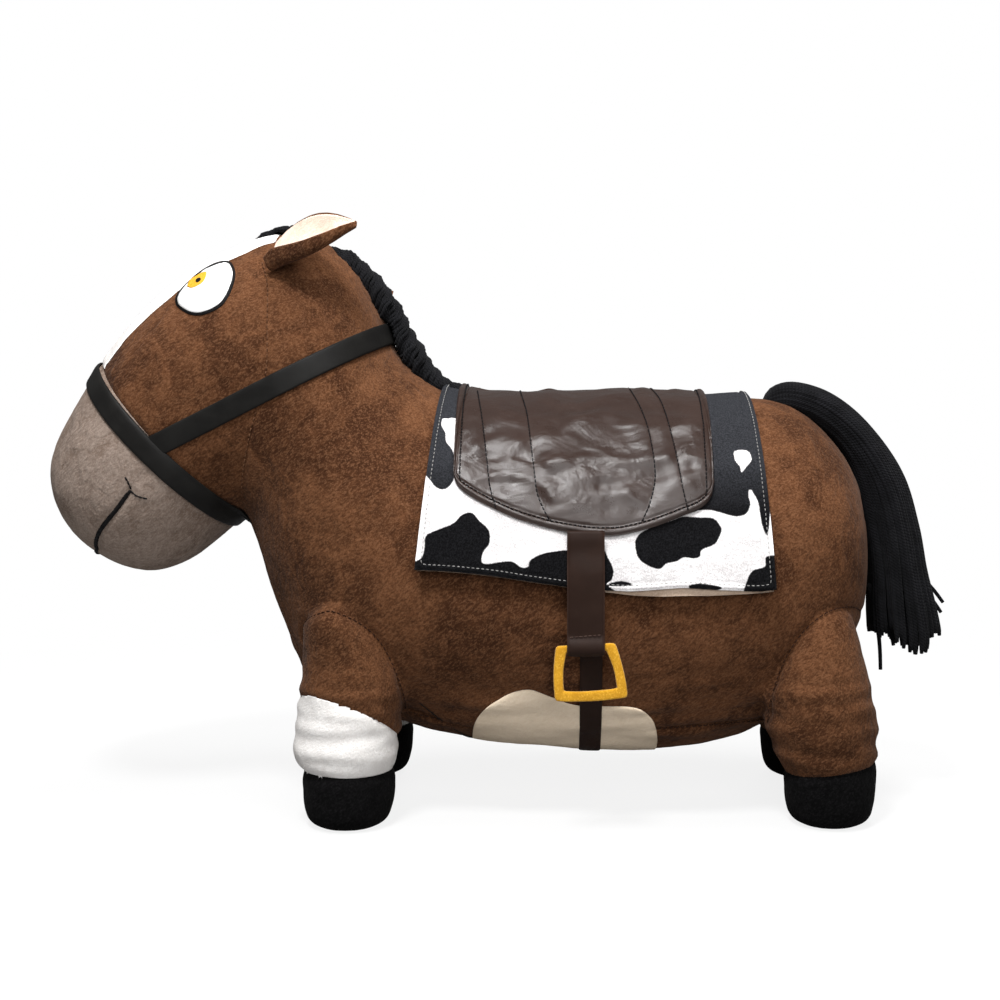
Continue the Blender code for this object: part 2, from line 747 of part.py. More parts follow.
def band(name, surface, centre, axis, start, turns, width, material, closed, lift=STRAP_LIFT):
    """A strap round the surface: a ray goes out at each turn, for each edge and the middle."""
    inner, outer = [], []
    for turn in turns:
        outwards = Matrix.Rotation(turn, 3, axis) @ start
        for across in (-1, 0, 1):
            middle = centre + axis * (across * width / 2)
            place, _ = outermost(surface, middle, outwards)
            inner.append(place + outwards * lift)
            outer.append(place + outwards * (lift + STRAP_THICKNESS))
    count = len(turns)
    points = inner + outer
    top = len(inner)
    faces = []
    for k in range(count if closed else count - 1):
        here, after = 3 * k, 3 * ((k + 1) % count)
        for c in (0, 1):
            faces.append((here + c, here + c + 1, after + c + 1, after + c))
            faces.append((top + here + c, top + here + c + 1, top + after + c + 1, top + after + c))
        for c in (0, 2):
            faces.append((here + c, after + c, top + after + c, top + here + c))
    if not closed:
        for end in (0, 3 * (count - 1)):
            for c in (0, 1):
                faces.append((end + c, end + c + 1, top + end + c + 1, top + end + c))
    return add_mesh(name, points, faces, material)


def make_noseband(surface, cutting):
    """The strap round the muzzle. Returns the plane where the cheek strap meets it."""
    top, bottom = (skin_place(shares) for shares in NOSEBAND_LINE_SHARES)
    start = (top - bottom).normalized()
    axis = start.cross(Vector((0, 1, 0)))
    centre = (top + bottom) / 2
    turns = [math.tau * k / STRAP_STEPS for k in range(STRAP_STEPS)]
    noseband = band(
        "noseband", surface, centre, axis, start, turns, BRIDLE_WIDTH, BLACK_STRAP, True
    )
    cut_by(noseband, *cutting)
    bake(noseband)
    rearwards = axis if axis.x > 0 else -axis
    return centre + rearwards * (BRIDLE_WIDTH / 2 + SEAM_GAP), rearwards


def make_cheek_strap(surface, end_plane, cutting):
    """The long bridle strap, from the noseband round the nape and back to it."""
    low, high = (skin_place(shares) for shares in CHEEK_LINE_SHARES)
    start = (high - low).normalized()
    axis = start.cross(Vector((0, 1, 0)))
    reach = math.radians(152)
    turns = [reach * (2 * k / STRAP_STEPS - 1) for k in range(STRAP_STEPS + 1)]
    strap = band(
        "whole_strap", surface, (low + high) / 2, axis, start, turns, BRIDLE_WIDTH, BLACK_STRAP,
        False,
    )
    trimmed = slice_of(strap, "cheek_strap", BLACK_STRAP, [end_plane])
    bpy.data.objects.remove(strap)
    cut_by(trimmed, *cutting)
    return bake(trimmed)


def girth_height():
    """The height of the line that the girth, the blanket and the saddle wrap round."""
    return GIRTH_HEIGHT_SHARE * BODY_HEIGHT


def make_girth(surface, cutting):
    """The strap under the belly; both ends are sewn in behind the blanket's hem."""
    reach = math.radians(GIRTH_REACH_DEGREES)
    turns = [reach * (2 * k / GIRTH_STEPS - 1) for k in range(GIRTH_STEPS + 1)]
    girth = band(
        "girth", surface, Vector((GIRTH_X, 0, girth_height())), Vector((1, 0, 0)),
        Vector((0, 0, -1)), turns, GIRTH_WIDTH, BROWN_LEATHER, False, GIRTH_LIFT,
    )
    cut_by(girth, *cutting)
    return bake(girth)


def draped_rows(surface, places, drops, rows, crest_lift, hem_lift, flares=(0, 0)):
    """Rows of points down both flanks over the back, from one lower edge to the other."""
    grid = []
    for r in range(rows + 1):
        side = 2 * r / rows - 1
        lift = crest_lift + (hem_lift - crest_lift) * side**HEM_CURVE
        row = []
        for x, drop in zip(places, drops):
            middle = Vector((x, 0, girth_height()))
            turn = side * math.atan2(BODY_WIDTH / 2, drop - middle.z)
            outwards = Vector((0, math.sin(turn), math.cos(turn)))
            place, _ = outermost(surface, middle, outwards)
            along = 2 * (x - places[0]) / (places[-1] - places[0]) - 1
            spread = flares[along > 0] * along**3 * abs(side) ** FLARE_CURVE
            row.append(place + outwards * lift + Vector((spread, 0, 0)))
        grid.append(row)
    return grid


def spaced(first, last, count):
    return [first + (last - first) * k / count for k in range(count + 1)]


def make_blanket(surface, cutting):
    """The cow-print blanket and the lining under it."""
    under = 4 * CLOTH_GAP + GIRTH_LIFT + STRAP_THICKNESS
    over = LINING_CLOTH + 2 * CLOTH_GAP
    middle = Vector(((BLANKET_FRONT_X + BLANKET_REAR_X) / 2, 0, girth_height()))
    hem = BLANKET_HEM_SHARE * BODY_HEIGHT
    front, rear = BLANKET_FRONT_X + LINING_INSET, BLANKET_REAR_X - LINING_INSET
    places = spaced(front, rear, BLANKET_COLUMNS)
    drops = [hem - LINING_INSET / 3] * len(places)
    rows = draped_rows(surface, places, drops, BLANKET_ROWS, CREST_LIFT, under, BLANKET_FLARES)
    lining = sheet("blanket_lining", rows, middle, LINING_CLOTH, CREAM_PLUSH)
    cut_by(lining, *cutting)
    lining = bake(lining)
    places = spaced(BLANKET_FRONT_X, BLANKET_REAR_X, BLANKET_COLUMNS)
    rows = draped_rows(
        surface, places, [hem] * len(places), BLANKET_ROWS, CREST_LIFT + over, under + over,
        BLANKET_FLARES,
    )
    return sheet("saddle_blanket", rows, middle, BLANKET_CLOTH, COW_PLUSH)


def make_saddle(blanket):
    count = len(SADDLE_EDGE_SHARES) - 1
    places = spaced(SADDLE_FRONT_X, SADDLE_REAR_X, count)
    top = max(corner.co.z for corner in blanket.data.vertices)
    deepest = top - SADDLE_HEM_SHARE * BODY_HEIGHT
    drops = [top - share * deepest for share in SADDLE_EDGE_SHARES]
    lift = 2 * CLOTH_GAP
    rows = draped_rows(surface_of(blanket), places, drops, SADDLE_ROWS, lift, lift)
    middle = Vector(((SADDLE_FRONT_X + SADDLE_REAR_X) / 2, 0, girth_height()))
    saddle = sheet("saddle", rows, middle, SADDLE_THICKNESS, BROWN_LEATHER)
    cut_by(saddle, grown(blanket, SEAM_GAP))
    return bake(saddle)


def flat_outline(name, splines, thickness, material):
    """A flat outline with holes, given thickness; it lies in its local XY plane."""
    curve = bpy.data.curves.new(name, "CURVE")
    curve.dimensions = "2D"
    curve.fill_mode = "BOTH"
    curve.extrude = thickness / 2
    for points in splines:
        spline = curve.splines.new("POLY")
        spline.points.add(len(points) - 1)
        for point, (u, v) in zip(spline.points, points):
            point.co = (u, v, 0, 1)
        spline.use_cyclic_u = True
    curve.materials.append(material)
    obj = bpy.data.objects.new(name, curve)
    horse.objects.link(obj)
    return obj


def circle(centre_u, centre_v, radius, steps, first=0.0, turn=math.tau):
    """Points of a circle or arc, without its last point."""
    return [
        (centre_u + radius * math.cos(first + turn * k / steps),
         centre_v + radius * math.sin(first + turn * k / steps))
        for k in range(steps)
    ]


def loop_radius():
    return math.hypot(STIRRUP_TOP_BAR, STIRRUP_THICKNESS) / 2 + LOOP_CLEARANCE


def make_stirrup_leather(saddle, blanket):
    """The hanging strap with its sewn loop. Returns its hinge and the loop's centre."""
    out = Vector((0, -1, 0))
    saddle_skin, blanket_skin = surface_of(saddle), surface_of(blanket)
    edge = min(
        corner.co.z for corner in saddle.data.vertices if abs(corner.co.x - LEATHER_X) < LEATHER_WIDTH
    )
    hem = BLANKET_HEM_SHARE * BODY_HEIGHT
    half = LEATHER_THICKNESS / 2
    hinge_z = edge - SEAM_GAP - half
    loop_z = hinge_z - LEATHER_LENGTH
    over, _ = outermost(saddle_skin, Vector((LEATHER_X, 0, edge + SADDLE_THICKNESS)), out)
    widest = max(
        -outermost(blanket_skin, Vector((LEATHER_X + shift, 0, hem + rise)), out)[0].y
        for shift in (-LEATHER_WIDTH / 2, 0, LEATHER_WIDTH / 2)
        for rise in (BLANKET_CLOTH, 4 * BLANKET_CLOTH)
    )
    hang_y = widest + 2 * CLOTH_GAP + half
    hinge_y = max(-over.y - SADDLE_THICKNESS / 2, hang_y - LEATHER_THICKNESS)
    outer_radius = loop_radius() + LOOP_WALL
    knee_z = hinge_z - LEATHER_LENGTH / 4
    down = [(hinge_y, hinge_z), (hang_y, knee_z), (hang_y, loop_z + 2 * outer_radius)]
    outside = [(y + half, z) for y, z in down]
    inside = [(y - half, z) for y, z in reversed(down)]
    spread = math.asin(half / outer_radius)
    round_loop = circle(
        hang_y, loop_z, outer_radius, LOOP_STEPS,
        math.pi / 2 - 2 * spread, -math.tau + 4 * spread,
    )
    top = circle(hinge_y, hinge_z, half, CURVE_STEPS * 2, math.pi, -math.pi)
    outline = outside + round_loop + inside + top[1:]
    hole = circle(hang_y, loop_z, loop_radius(), LOOP_STEPS)
    strap = flat_outline("stirrup_leather_left", [outline, hole], LEATHER_WIDTH, BROWN_LEATHER)
    # The outline's axes become -Y and +Z, and its thickness runs along X
    strap.matrix_world = Matrix(
        ((0, 0, 1, LEATHER_X), (-1, 0, 0, 0), (0, 1, 0, 0), (0, 0, 0, 1))
    )
    strap = bake(strap)
    bmesh_outwards(strap)
    mirrored(strap, "stirrup_leather_right")
    return (hinge_y, hinge_z), (hang_y, loop_z)


def bmesh_outwards(obj):
    form = bmesh.new()
    form.from_mesh(obj.data)
    bmesh.ops.recalc_face_normals(form, faces=form.faces)
    form.to_mesh(obj.data)
    form.free()


def rounded(corners, radius, steps):
    """A polygon with each corner replaced by an arc."""
    points = []
    count = len(corners)
    for i, corner in enumerate(corners):
        here = Vector(corner)
        before = (Vector(corners[i - 1]) - here).normalized()
        after = (Vector(corners[(i + 1) % count]) - here).normalized()
        half_turn = before.angle(after) / 2
        centre = here + (before + after).normalized() * (radius / math.sin(half_turn))
        first = (here + before * (radius / math.tan(half_turn)) - centre).normalized()
        last = (here + after * (radius / math.tan(half_turn)) - centre).normalized()
        points += [tuple(centre + radius * first.slerp(last, k / steps)) for k in range(steps + 1)]
    return points


def make_stirrup(loop):
    """The felt stirrup, whose top bar runs through the leather's loop."""
    hang_y, pivot_z = loop
    inner_top = LEATHER_WIDTH / 2 + STIRRUP_TOP_GAP
    inner_bottom = inner_top + STIRRUP_SPLAY
    top = STIRRUP_TOP_BAR / 2
    low = top - STIRRUP_HEIGHT
    outer = [
        (-inner_top - STIRRUP_BAR, top), (-inner_bottom - STIRRUP_BAR, low),
        (inner_bottom + STIRRUP_BAR, low), (inner_top + STIRRUP_BAR, top),
    ]
    hole = [
        (-inner_top, -top), (-inner_bottom, low + STIRRUP_BAR),
        (inner_bottom, low + STIRRUP_BAR), (inner_top, -top),
    ]
    splines = [
        rounded(outer, STIRRUP_CORNER, CURVE_STEPS),
        rounded(hole, STIRRUP_CORNER / 2, CURVE_STEPS),
    ]
    stirrup = flat_outline("stirrup_left", splines, STIRRUP_THICKNESS, YELLOW_FELT)
    # The outline's axes become +X and +Z, and its thickness runs along Y
    stirrup.matrix_world = Matrix(
        ((1, 0, 0, LEATHER_X), (0, 0, -1, -hang_y), (0, 1, 0, pivot_z), (0, 0, 0, 1))
    )
    stirrup = bake(stirrup)
    bmesh_outwards(stirrup)
    mirrored(stirrup, "stirrup_right")


def build_horse():
    """Makes every piece and returns where the moving ones turn."""
    whole, skin = make_skin()
    skin_cutter = grown(whole, SEAM_GAP)
    legs = (
        ("front", FRONT_LEG_X, FRONT_LEG_LEVEL_SHARES, 0, True),
        ("rear", REAR_LEG_X, REAR_LEG_LEVEL_SHARES, REAR_HOOF_LEAN_SHARE, False),
    )
    for place, leg_x, level_shares, hoof_lean, stocking in legs:
        make_leg(place, leg_x, level_shares, -hoof_lean, stocking, skin_cutter)
    make_eyes(skin["head"], skin_cutter)
    blaze = make_blaze(skin["head"], skin["muzzle"], skin_cutter)
    belly_patch = make_belly_patch(skin["torso"], skin_cutter)
    ear_root, ear_axis = make_ears(surface_of(whole), skin_cutter)
    end_plane = make_noseband(surface_of(skin["muzzle"], skin["head"]), [skin_cutter])
    cheek_strap = make_cheek_strap(surface_of(whole), end_plane, [skin_cutter])
    make_mane([skin_cutter, grown(cheek_strap, SEAM_GAP)])
    make_forelock([skin_cutter, grown(blaze, SEAM_GAP)])
    make_tail([skin_cutter])
    girth = make_girth(surface_of(whole), [skin_cutter, grown(belly_patch, SEAM_GAP)])
    blanket = make_blanket(surface_of(whole), [skin_cutter, grown(girth, SEAM_GAP)])
    saddle = make_saddle(blanket)
    hinge, loop = make_stirrup_leather(saddle, blanket)
    make_stirrup(loop)
    return {"ear": (ear_root, ear_axis), "leather": hinge, "loop": loop}


turning_places = build_horse()
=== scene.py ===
"""Looks of the plush horse: sewn plush skin, embroidery, yarn, straps, blanket, saddle and stirrups.

Metres, +Z up. The head points to -X, the horse's left side is -Y, and z = 0 is the floor.
"""

import json
import math

import bmesh
import bpy
import numpy as np
from mathutils import Matrix, Vector, noise
from mathutils.bvhtree import BVHTree
from mathutils.kdtree import KDTree

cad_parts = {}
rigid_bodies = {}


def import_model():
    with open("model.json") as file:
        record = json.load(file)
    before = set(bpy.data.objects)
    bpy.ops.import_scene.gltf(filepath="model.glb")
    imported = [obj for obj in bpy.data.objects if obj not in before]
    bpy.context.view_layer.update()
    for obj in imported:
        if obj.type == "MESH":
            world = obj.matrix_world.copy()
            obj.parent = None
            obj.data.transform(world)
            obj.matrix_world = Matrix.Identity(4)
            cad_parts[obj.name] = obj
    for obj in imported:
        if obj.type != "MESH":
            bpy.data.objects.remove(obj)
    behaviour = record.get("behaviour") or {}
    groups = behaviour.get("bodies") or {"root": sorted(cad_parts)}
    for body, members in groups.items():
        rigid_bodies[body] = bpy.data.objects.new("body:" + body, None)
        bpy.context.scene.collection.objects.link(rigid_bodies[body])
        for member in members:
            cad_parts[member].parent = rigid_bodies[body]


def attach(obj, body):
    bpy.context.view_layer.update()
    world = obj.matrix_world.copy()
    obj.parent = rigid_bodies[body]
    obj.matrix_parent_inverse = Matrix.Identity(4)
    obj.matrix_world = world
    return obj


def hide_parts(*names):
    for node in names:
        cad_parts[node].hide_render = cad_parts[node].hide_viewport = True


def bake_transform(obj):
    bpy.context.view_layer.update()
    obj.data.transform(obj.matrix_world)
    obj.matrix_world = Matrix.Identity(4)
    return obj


for leftover in list(bpy.data.objects):
    bpy.data.objects.remove(leftover)
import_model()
bpy.context.view_layer.update()
SCENE = bpy.context.scene

BODY_LENGTH = 0.607
BODY_HEIGHT = 0.426
BODY_WIDTH = 0.224
MUZZLE_TIP_X = -0.334
# The body's sections from muzzle to rump: upper edge, lower edge and width, in shares of its sizes
SECTIONS = [
    ((0.018, 0.487), (0.048, 0.440), 0.125),
    ((0.006, 0.533), (0.082, 0.411), 0.290),
    ((0.004, 0.584), (0.121, 0.397), 0.450),
    ((0.016, 0.639), (0.159, 0.408), 0.575),
    ((0.037, 0.696), (0.197, 0.440), 0.640),
    ((0.068, 0.762), (0.243, 0.497), 0.660),
    ((0.117, 0.852), (0.2445, 0.4955), 0.690),
    ((0.185, 0.931), (0.2455, 0.4940), 0.710),
    ((0.266, 0.980), (0.2470, 0.4910), 0.733),
    ((0.328, 0.9765), (0.2490, 0.481), 0.750),
    ((0.377, 0.925), (0.2555, 0.456), 0.770),
    ((0.407, 0.849), (0.2620, 0.425), 0.800),
    ((0.424, 0.785), (0.2715, 0.384), 0.835),
    ((0.451, 0.744), (0.2815, 0.343), 0.875),
    ((0.488, 0.711), (0.2950, 0.2936), 0.920),
    ((0.534, 0.6965), (0.313, 0.2226), 0.950),
    ((0.577, 0.6935), (0.352, 0.1737), 0.975),
    ((0.621, 0.6925), (0.429, 0.1373), 0.990),
    ((0.664, 0.6925), (0.522, 0.1075), 1.000),
    ((0.713, 0.6925), (0.614, 0.0927), 1.000),
    ((0.763, 0.6935), (0.707, 0.0864), 1.000),
    ((0.812, 0.6955), (0.794, 0.0974), 0.980),
    ((0.862, 0.6985), (0.868, 0.1268), 0.955),
    ((0.905, 0.689), (0.923, 0.1714), 0.900),
    ((0.946, 0.648), (0.963, 0.2376), 0.800),
    ((0.975, 0.597), (0.985, 0.292), 0.635),
    ((0.991, 0.543), (0.996, 0.352), 0.400),
    ((0.999, 0.490), (1.000, 0.420), 0.160),
]
MUZZLE_SEAM = 5
LEG_SPACING = 0.144
LEG_WIDTH = 0.077
LEG_HEIGHT = 0.165
FRONT_LEG_X = -0.1035
REAR_LEG_X = 0.230
# Each leg's levels: height, shift forwards and outwards, length and width, in shares of its sizes
LEGS = {
    "front": (FRONT_LEG_X, [
        (0.000, 0.01, 0.03, 0.50, 0.50), (0.030, 0.01, 0.03, 0.72, 0.72),
        (0.100, 0.01, 0.03, 0.82, 0.82), (0.190, 0.01, 0.03, 0.84, 0.84),
        (0.236, 0.01, 0.03, 0.83, 0.83), (0.310, -0.01, 0.03, 0.94, 0.93),
        (0.450, 0.03, 0.03, 0.97, 0.97), (0.600, 0.07, 0.04, 0.94, 0.95),
        (0.750, 0.01, 0.05, 0.80, 0.88), (0.880, -0.07, 0.12, 0.56, 0.74),
        (0.950, -0.06, 0.18, 0.24, 0.40)]),
    "rear": (REAR_LEG_X, [
        (0.000, 0.095, -0.03, 0.50, 0.50), (0.030, 0.095, -0.03, 0.72, 0.72),
        (0.100, 0.095, -0.03, 0.82, 0.82), (0.190, 0.095, -0.03, 0.84, 0.84),
        (0.250, 0.080, -0.03, 0.86, 0.84), (0.320, 0.045, -0.02, 0.95, 0.93),
        (0.450, 0.000, -0.01, 1.04, 0.99), (0.600, -0.020, 0.01, 0.96, 0.96),
        (0.750, 0.000, 0.02, 0.75, 0.84), (0.880, 0.040, 0.03, 0.50, 0.66),
        (0.950, 0.060, 0.04, 0.22, 0.36)]),
}
HOOF_HEIGHT = 0.039
STOCKING_HEIGHT = 0.075
# The tail's sections: inner edge, outer edge and width, in shares of the body's sizes and its own
TAIL_SECTIONS = [
    ((0.8880, 0.6830), (0.8890, 0.7150), 0.26), ((0.9140, 0.6840), (0.9180, 0.7250), 0.42),
    ((0.9520, 0.6590), (0.9621, 0.7054), 0.66), ((0.9815, 0.6115), (1.0066, 0.6550), 0.84),
    ((0.9990, 0.5420), (1.0511, 0.5705), 0.95), ((1.0060, 0.4648), (1.0717, 0.4789), 1.00),
    ((1.0085, 0.4014), (1.0807, 0.4014), 1.00), ((1.0085, 0.3357), (1.0906, 0.3404), 1.00),
    ((1.0105, 0.2841), (1.0967, 0.2911), 0.92), ((1.0247, 0.2465), (1.0741, 0.2512), 0.50),
]
TAIL_WIDTH = 0.060
MANE_PATH = [
    (0.322, 0.950), (0.341, 0.944), (0.362, 0.932), (0.385, 0.905), (0.400, 0.878),
    (0.413, 0.852), (0.425, 0.816), (0.443, 0.772), (0.458, 0.742), (0.4725, 0.722),
]
WRAP_HEIGHT = 0.3897 * BODY_HEIGHT

# The photograph's camera looks along +Y with a shifted lens. PIXEL is a pixel's size in the middle
# plane, and VIEW_CENTRE the pixel straight ahead of the camera
EYE = (0.0465, -1.25, 0.3335)
DISTANCE = 1.25
PIXEL = 0.75e-3
VIEW_CENTRE = (560, 350)


def place(shares):
    """A point of the middle plane from its shares of the body's length and height."""
    return np.array((MUZZLE_TIP_X + shares[0] * BODY_LENGTH, 0, shares[1] * BODY_HEIGHT))


def in_plane(px, py, scale=PIXEL):
    """Where a pixel lies in an upright plane along the body, at so many metres a pixel: x and z."""
    return EYE[0] + (px - VIEW_CENTRE[0]) * scale, EYE[2] - (py - VIEW_CENTRE[1]) * scale


def srgb(r, g, b):
    return tuple(c / 12.92 if c <= 0.04045 else ((c + 0.055) / 1.055) ** 2.4
                 for c in (r / 255, g / 255, b / 255)) + (1,)


def smoothed(rows, steps):
    """Rows of numbers with others between them, along smooth curves through them."""
    rows = np.array(rows, float)
    last = len(rows) - 1
    dense = []
    for step in range(last * steps + 1):
        i = min(step // steps, last - 1)
        p0, p1, p2, p3 = (rows[min(max(i + k, 0), last)] for k in (-1, 0, 1, 2))
        t = step / steps - i
        dense.append(p1 + t / 2 * ((p2 - p0) + (2 * p0 - 5 * p1 + 4 * p2 - p3) * t
                                   + (3 * (p1 - p2) + p3 - p0) * t * t))
    return np.array(dense)


def run_of(points):
    """Distances along a polyline, from its start to each point."""
    return np.r_[0, np.cumsum(np.linalg.norm(np.diff(points, axis=0), axis=1))]


def between(at, run, rows):
    """Rows of numbers at places along a run."""
    return np.stack([np.interp(at, run, column) for column in rows.T], 1)


def resampled(points, spacing):
    """Points of a polyline at even distances of about spacing."""
    points = np.array(points, float)
    run = run_of(points)
    count = max(2, int(round(run[-1] / spacing)) + 1)
    return between(np.linspace(0, run[-1], count), run, points)


def evened(rows, rounds, closed=False):
    """Rows of numbers drawn towards their neighbours. The ends of an open run stay."""
    for _ in range(rounds):
        if closed:
            rows = (np.roll(rows, 1, 0) + 2 * rows + np.roll(rows, -1, 0)) / 4
        else:
            rows[1:-1] = (rows[:-2] + 2 * rows[1:-1] + rows[2:]) / 4
    return rows


def unit(rows):
    """Directions of length 1."""
    return rows / np.maximum(np.linalg.norm(rows, axis=-1, keepdims=True), 1e-12)


def ramp(value, low, high):
    """A share from 0 at low to 1 at high."""
    return np.clip((value - low) / (high - low), 0, 1)


def hump(value, width):
    """1 at 0, falling off smoothly over width."""
    return np.exp(-(value / width) ** 2)


def linked(name, data):
    """A new object of the scene."""
    obj = bpy.data.objects.new(name, data)
    SCENE.collection.objects.link(obj)
    return obj


def mesh_object(name, points, faces, material, uv=None):
    """A smooth mesh with its faces turned outwards. uv is kept as the map named strand."""
    mesh = bpy.data.meshes.new(name)
    mesh.from_pydata(np.asarray(points, float).tolist(), [], [tuple(map(int, f)) for f in faces])
    if uv is not None:
        layer = mesh.uv_layers.new(name="strand")
        corners = np.empty(len(mesh.loops), np.int32)
        mesh.loops.foreach_get("vertex_index", corners)
        layer.data.foreach_set("uv", np.asarray(uv, np.float32)[corners].ravel())
    mesh.validate()
    form = bmesh.new()
    form.from_mesh(mesh)
    bmesh.ops.recalc_face_normals(form, faces=form.faces)
    form.to_mesh(mesh)
    form.free()
    mesh.shade_smooth()
    mesh.materials.append(material)
    return linked(name, mesh)


def ring_faces(rings, sides, first=0, closed=False):
    """Faces of a tube of rings of points. Its ends are capped, or joined when it is closed."""
    faces = []
    for row in range(rings - 1):
        for k in range(sides):
            a, b = first + row * sides + k, first + row * sides + (k + 1) % sides
            faces.append((a, b, b + sides, a + sides))
    last = first + (rings - 1) * sides
    if closed:
        return faces + [(last + k, last + (k + 1) % sides, first + (k + 1) % sides, first + k)
                        for k in range(sides)]
    return faces + [tuple(end + k for k in range(sides)) for end in (first, last)]


def coords(obj, what="co"):
    """The places of the mesh's vertices, or with "normal" their normals."""
    values = np.empty(len(obj.data.vertices) * 3)
    obj.data.vertices.foreach_get(what, values)
    return values.reshape(-1, 3)


def tree_of(*objects):
    points, faces = [], []
    for obj in objects:
        first = len(points)
        points += [tuple(p) for p in coords(obj)]
        faces += [[first + i for i in face.vertices] for face in obj.data.polygons]
    return BVHTree.FromPolygons(points, faces)


def outermost(tree, centre, outwards):
    """The farthest point of a surface from a centre along a direction, and its normal."""
    outwards = Vector(outwards).normalized()
    return tree.ray_cast(Vector(centre) + outwards, -outwards)[:2]


def cast(tree, rows, columns, ray):
    """A grid of outermost points and their normals. ray gives a centre and a direction."""
    grid, outward = np.zeros((2, rows, columns, 3))
    for r in range(rows):
        for c in range(columns):
            grid[r, c], outward[r, c] = outermost(tree, *ray(r, c))
    return grid, outward


def seen(tree, px, py):
    """The point of a surface that the photograph shows at a pixel, and its normal."""
    x, z = in_plane(px, py)
    target, eye = Vector((x, 0, z)), Vector(EYE)
    way = (target - eye).normalized()
    hit, normal, _, _ = tree.ray_cast(eye, way)
    if hit is None:
        hit, normal, _, _ = tree.find_nearest(target)
    return hit, -normal if normal.dot(way) > 0 else normal


def seen_curve(tree, pixels, spacing=0.001, steps=8):
    """Points and normals along a smooth line through pixels, on a surface."""
    pairs = [seen(tree, *pixel) for pixel in smoothed(pixels, steps)]
    path = resampled([tuple(hit) + tuple(normal) for hit, normal in pairs], spacing)
    return path[:, :3], unit(path[:, 3:])


def on_surface(tree, path):
    """The stretches of a path that lie on the surface."""
    where, facing = path
    near = np.array([tree.find_nearest(point)[3] < 0.004 for point in where])
    parts = np.split(np.arange(len(near)), np.flatnonzero(np.diff(near)) + 1)
    return [(where[part], facing[part]) for part in parts if near[part[0]] and len(part) > 8]


def snapped(tree, path):
    """A path moved onto the nearest places of a surface."""
    hits = [tree.find_nearest(point)[:2] for point in path[0]]
    return tuple(np.array([tuple(hit[k]) for hit in hits]) for k in (0, 1))


def flip(path):
    """The same curve on the horse's other side."""
    return tuple(part * (1, -1, 1) for part in path)


def wobble(point, scale, seed=0.0):
    return noise.noise(Vector((point[0] * scale + seed, point[1] * scale, point[2] * scale)))


def wobbles(points, scale, seed=0.0):
    """Soft noise at the points of an array."""
    values = [wobble(point, scale, seed) for point in points.reshape(-1, 3)]
    return np.array(values).reshape(points.shape[:-1])


def tubes(name, strands, material, sides=5):
    """One mesh of round strands. A strand is its points, and its radius or radii."""
    points, faces, uv = [], [], []
    for path, radius in strands:
        radii = np.broadcast_to(radius, (len(path),))
        ahead = unit(np.gradient(path, axis=0))
        side = np.cross(ahead[0], (0.31, 0.87, 0.38))
        first = len(points)
        for where, way, thick, along in zip(path, ahead, radii, run_of(path)):
            side = unit(side - way * side.dot(way))
            other = np.cross(way, side)
            for k in range(sides):
                turn = math.tau * k / sides
                points.append(where + (side * math.cos(turn) + other * math.sin(turn)) * thick)
                uv.append((k / sides, along * 1000))
        faces += ring_faces(len(path), sides, first)
    return mesh_object(name, points, faces, material, uv)


# A stitch: shares of its length, with the rise and thickness there as shares of the thread's radius
STITCH = np.array(((0, -1.2, 0.6), (0.18, 0.35, 1), (0.5, 0.7, 1), (0.82, 0.35, 1), (1, -1.2, 0.6)))


def stitches(strands, path, length, gap, radius, rise=0.2):
    """Adds thread stitches along a path of points and normals to strands."""
    where, facing = path
    run = run_of(where)
    start = 0.0
    while start + length < run[-1]:
        at = start + length * STITCH[:, 0]
        height = (STITCH[:, 1:2] + rise) * radius
        strands.append((between(at, run, where) + between(at, run, facing) * height, radius * STITCH[:, 2]))
        start += length + gap


def near_edge(grid):
    """Each point's distance along the cloth to its nearest side, and to its nearest hem."""
    across = np.cumsum(np.linalg.norm(np.diff(grid, axis=1), axis=2), axis=1)
    down = np.cumsum(np.linalg.norm(np.diff(grid, axis=0), axis=2), axis=0)
    across = np.c_[np.zeros(len(grid)), across]
    down = np.r_[np.zeros((1, grid.shape[1])), down]
    return np.minimum(across, across[:, -1:] - across), np.minimum(down, down[-1:] - down)


def padded_grid(name, grid, outward, lift, thickness, edge, material, relief=0, lower=0):
    """A closed cloth over a grid of points with outward normals; its rim is rounded over edge.
    relief adds to the outer face, and lower to both faces. Returns the object and the outer face."""
    rows, columns = grid.shape[:2]
    share = np.clip(np.minimum(*near_edge(grid)) / edge, 0, 1)
    crown = np.sqrt(1 - (1 - share) ** 2)
    base = np.broadcast_to(lift + lower, crown.shape)
    top = grid + outward * (base + thickness / 2 * (1 + crown) + relief * crown)[..., None]
    under = grid + outward * (base + thickness / 2 * (1 - crown))[..., None]
    half = rows * columns
    faces = []
    for r in range(rows - 1):
        for c in range(columns - 1):
            a = r * columns + c
            b = a + half
            faces += [(a, a + 1, a + columns + 1, a + columns), (b, b + columns, b + columns + 1, b + 1)]
    index = np.arange(half).reshape(rows, columns)
    rim = np.r_[index[0], index[1:, -1], index[-1, -2::-1], index[-2:0:-1, 0]].tolist()
    faces += [(a, a + half, b + half, b) for a, b in zip(rim, rim[1:] + rim[:1])]
    points = np.concatenate([top.reshape(-1, 3), under.reshape(-1, 3)])
    return mesh_object(name, points, faces, material), top


def square_to(grid):
    """Directions square to a grid of points."""
    return unit(np.cross(np.gradient(grid, axis=0), np.gradient(grid, axis=1)))


def riding(obj, body, material_slot, *replaced):
    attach(obj, body)
    if replaced:
        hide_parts(*replaced)


def hinged(obj, replaced):
    """A piece that is sewn to the horse at its start. Hides the node that it replaces and bakes its place
    into its mesh.
    """
    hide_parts(replaced)
    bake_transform(obj)


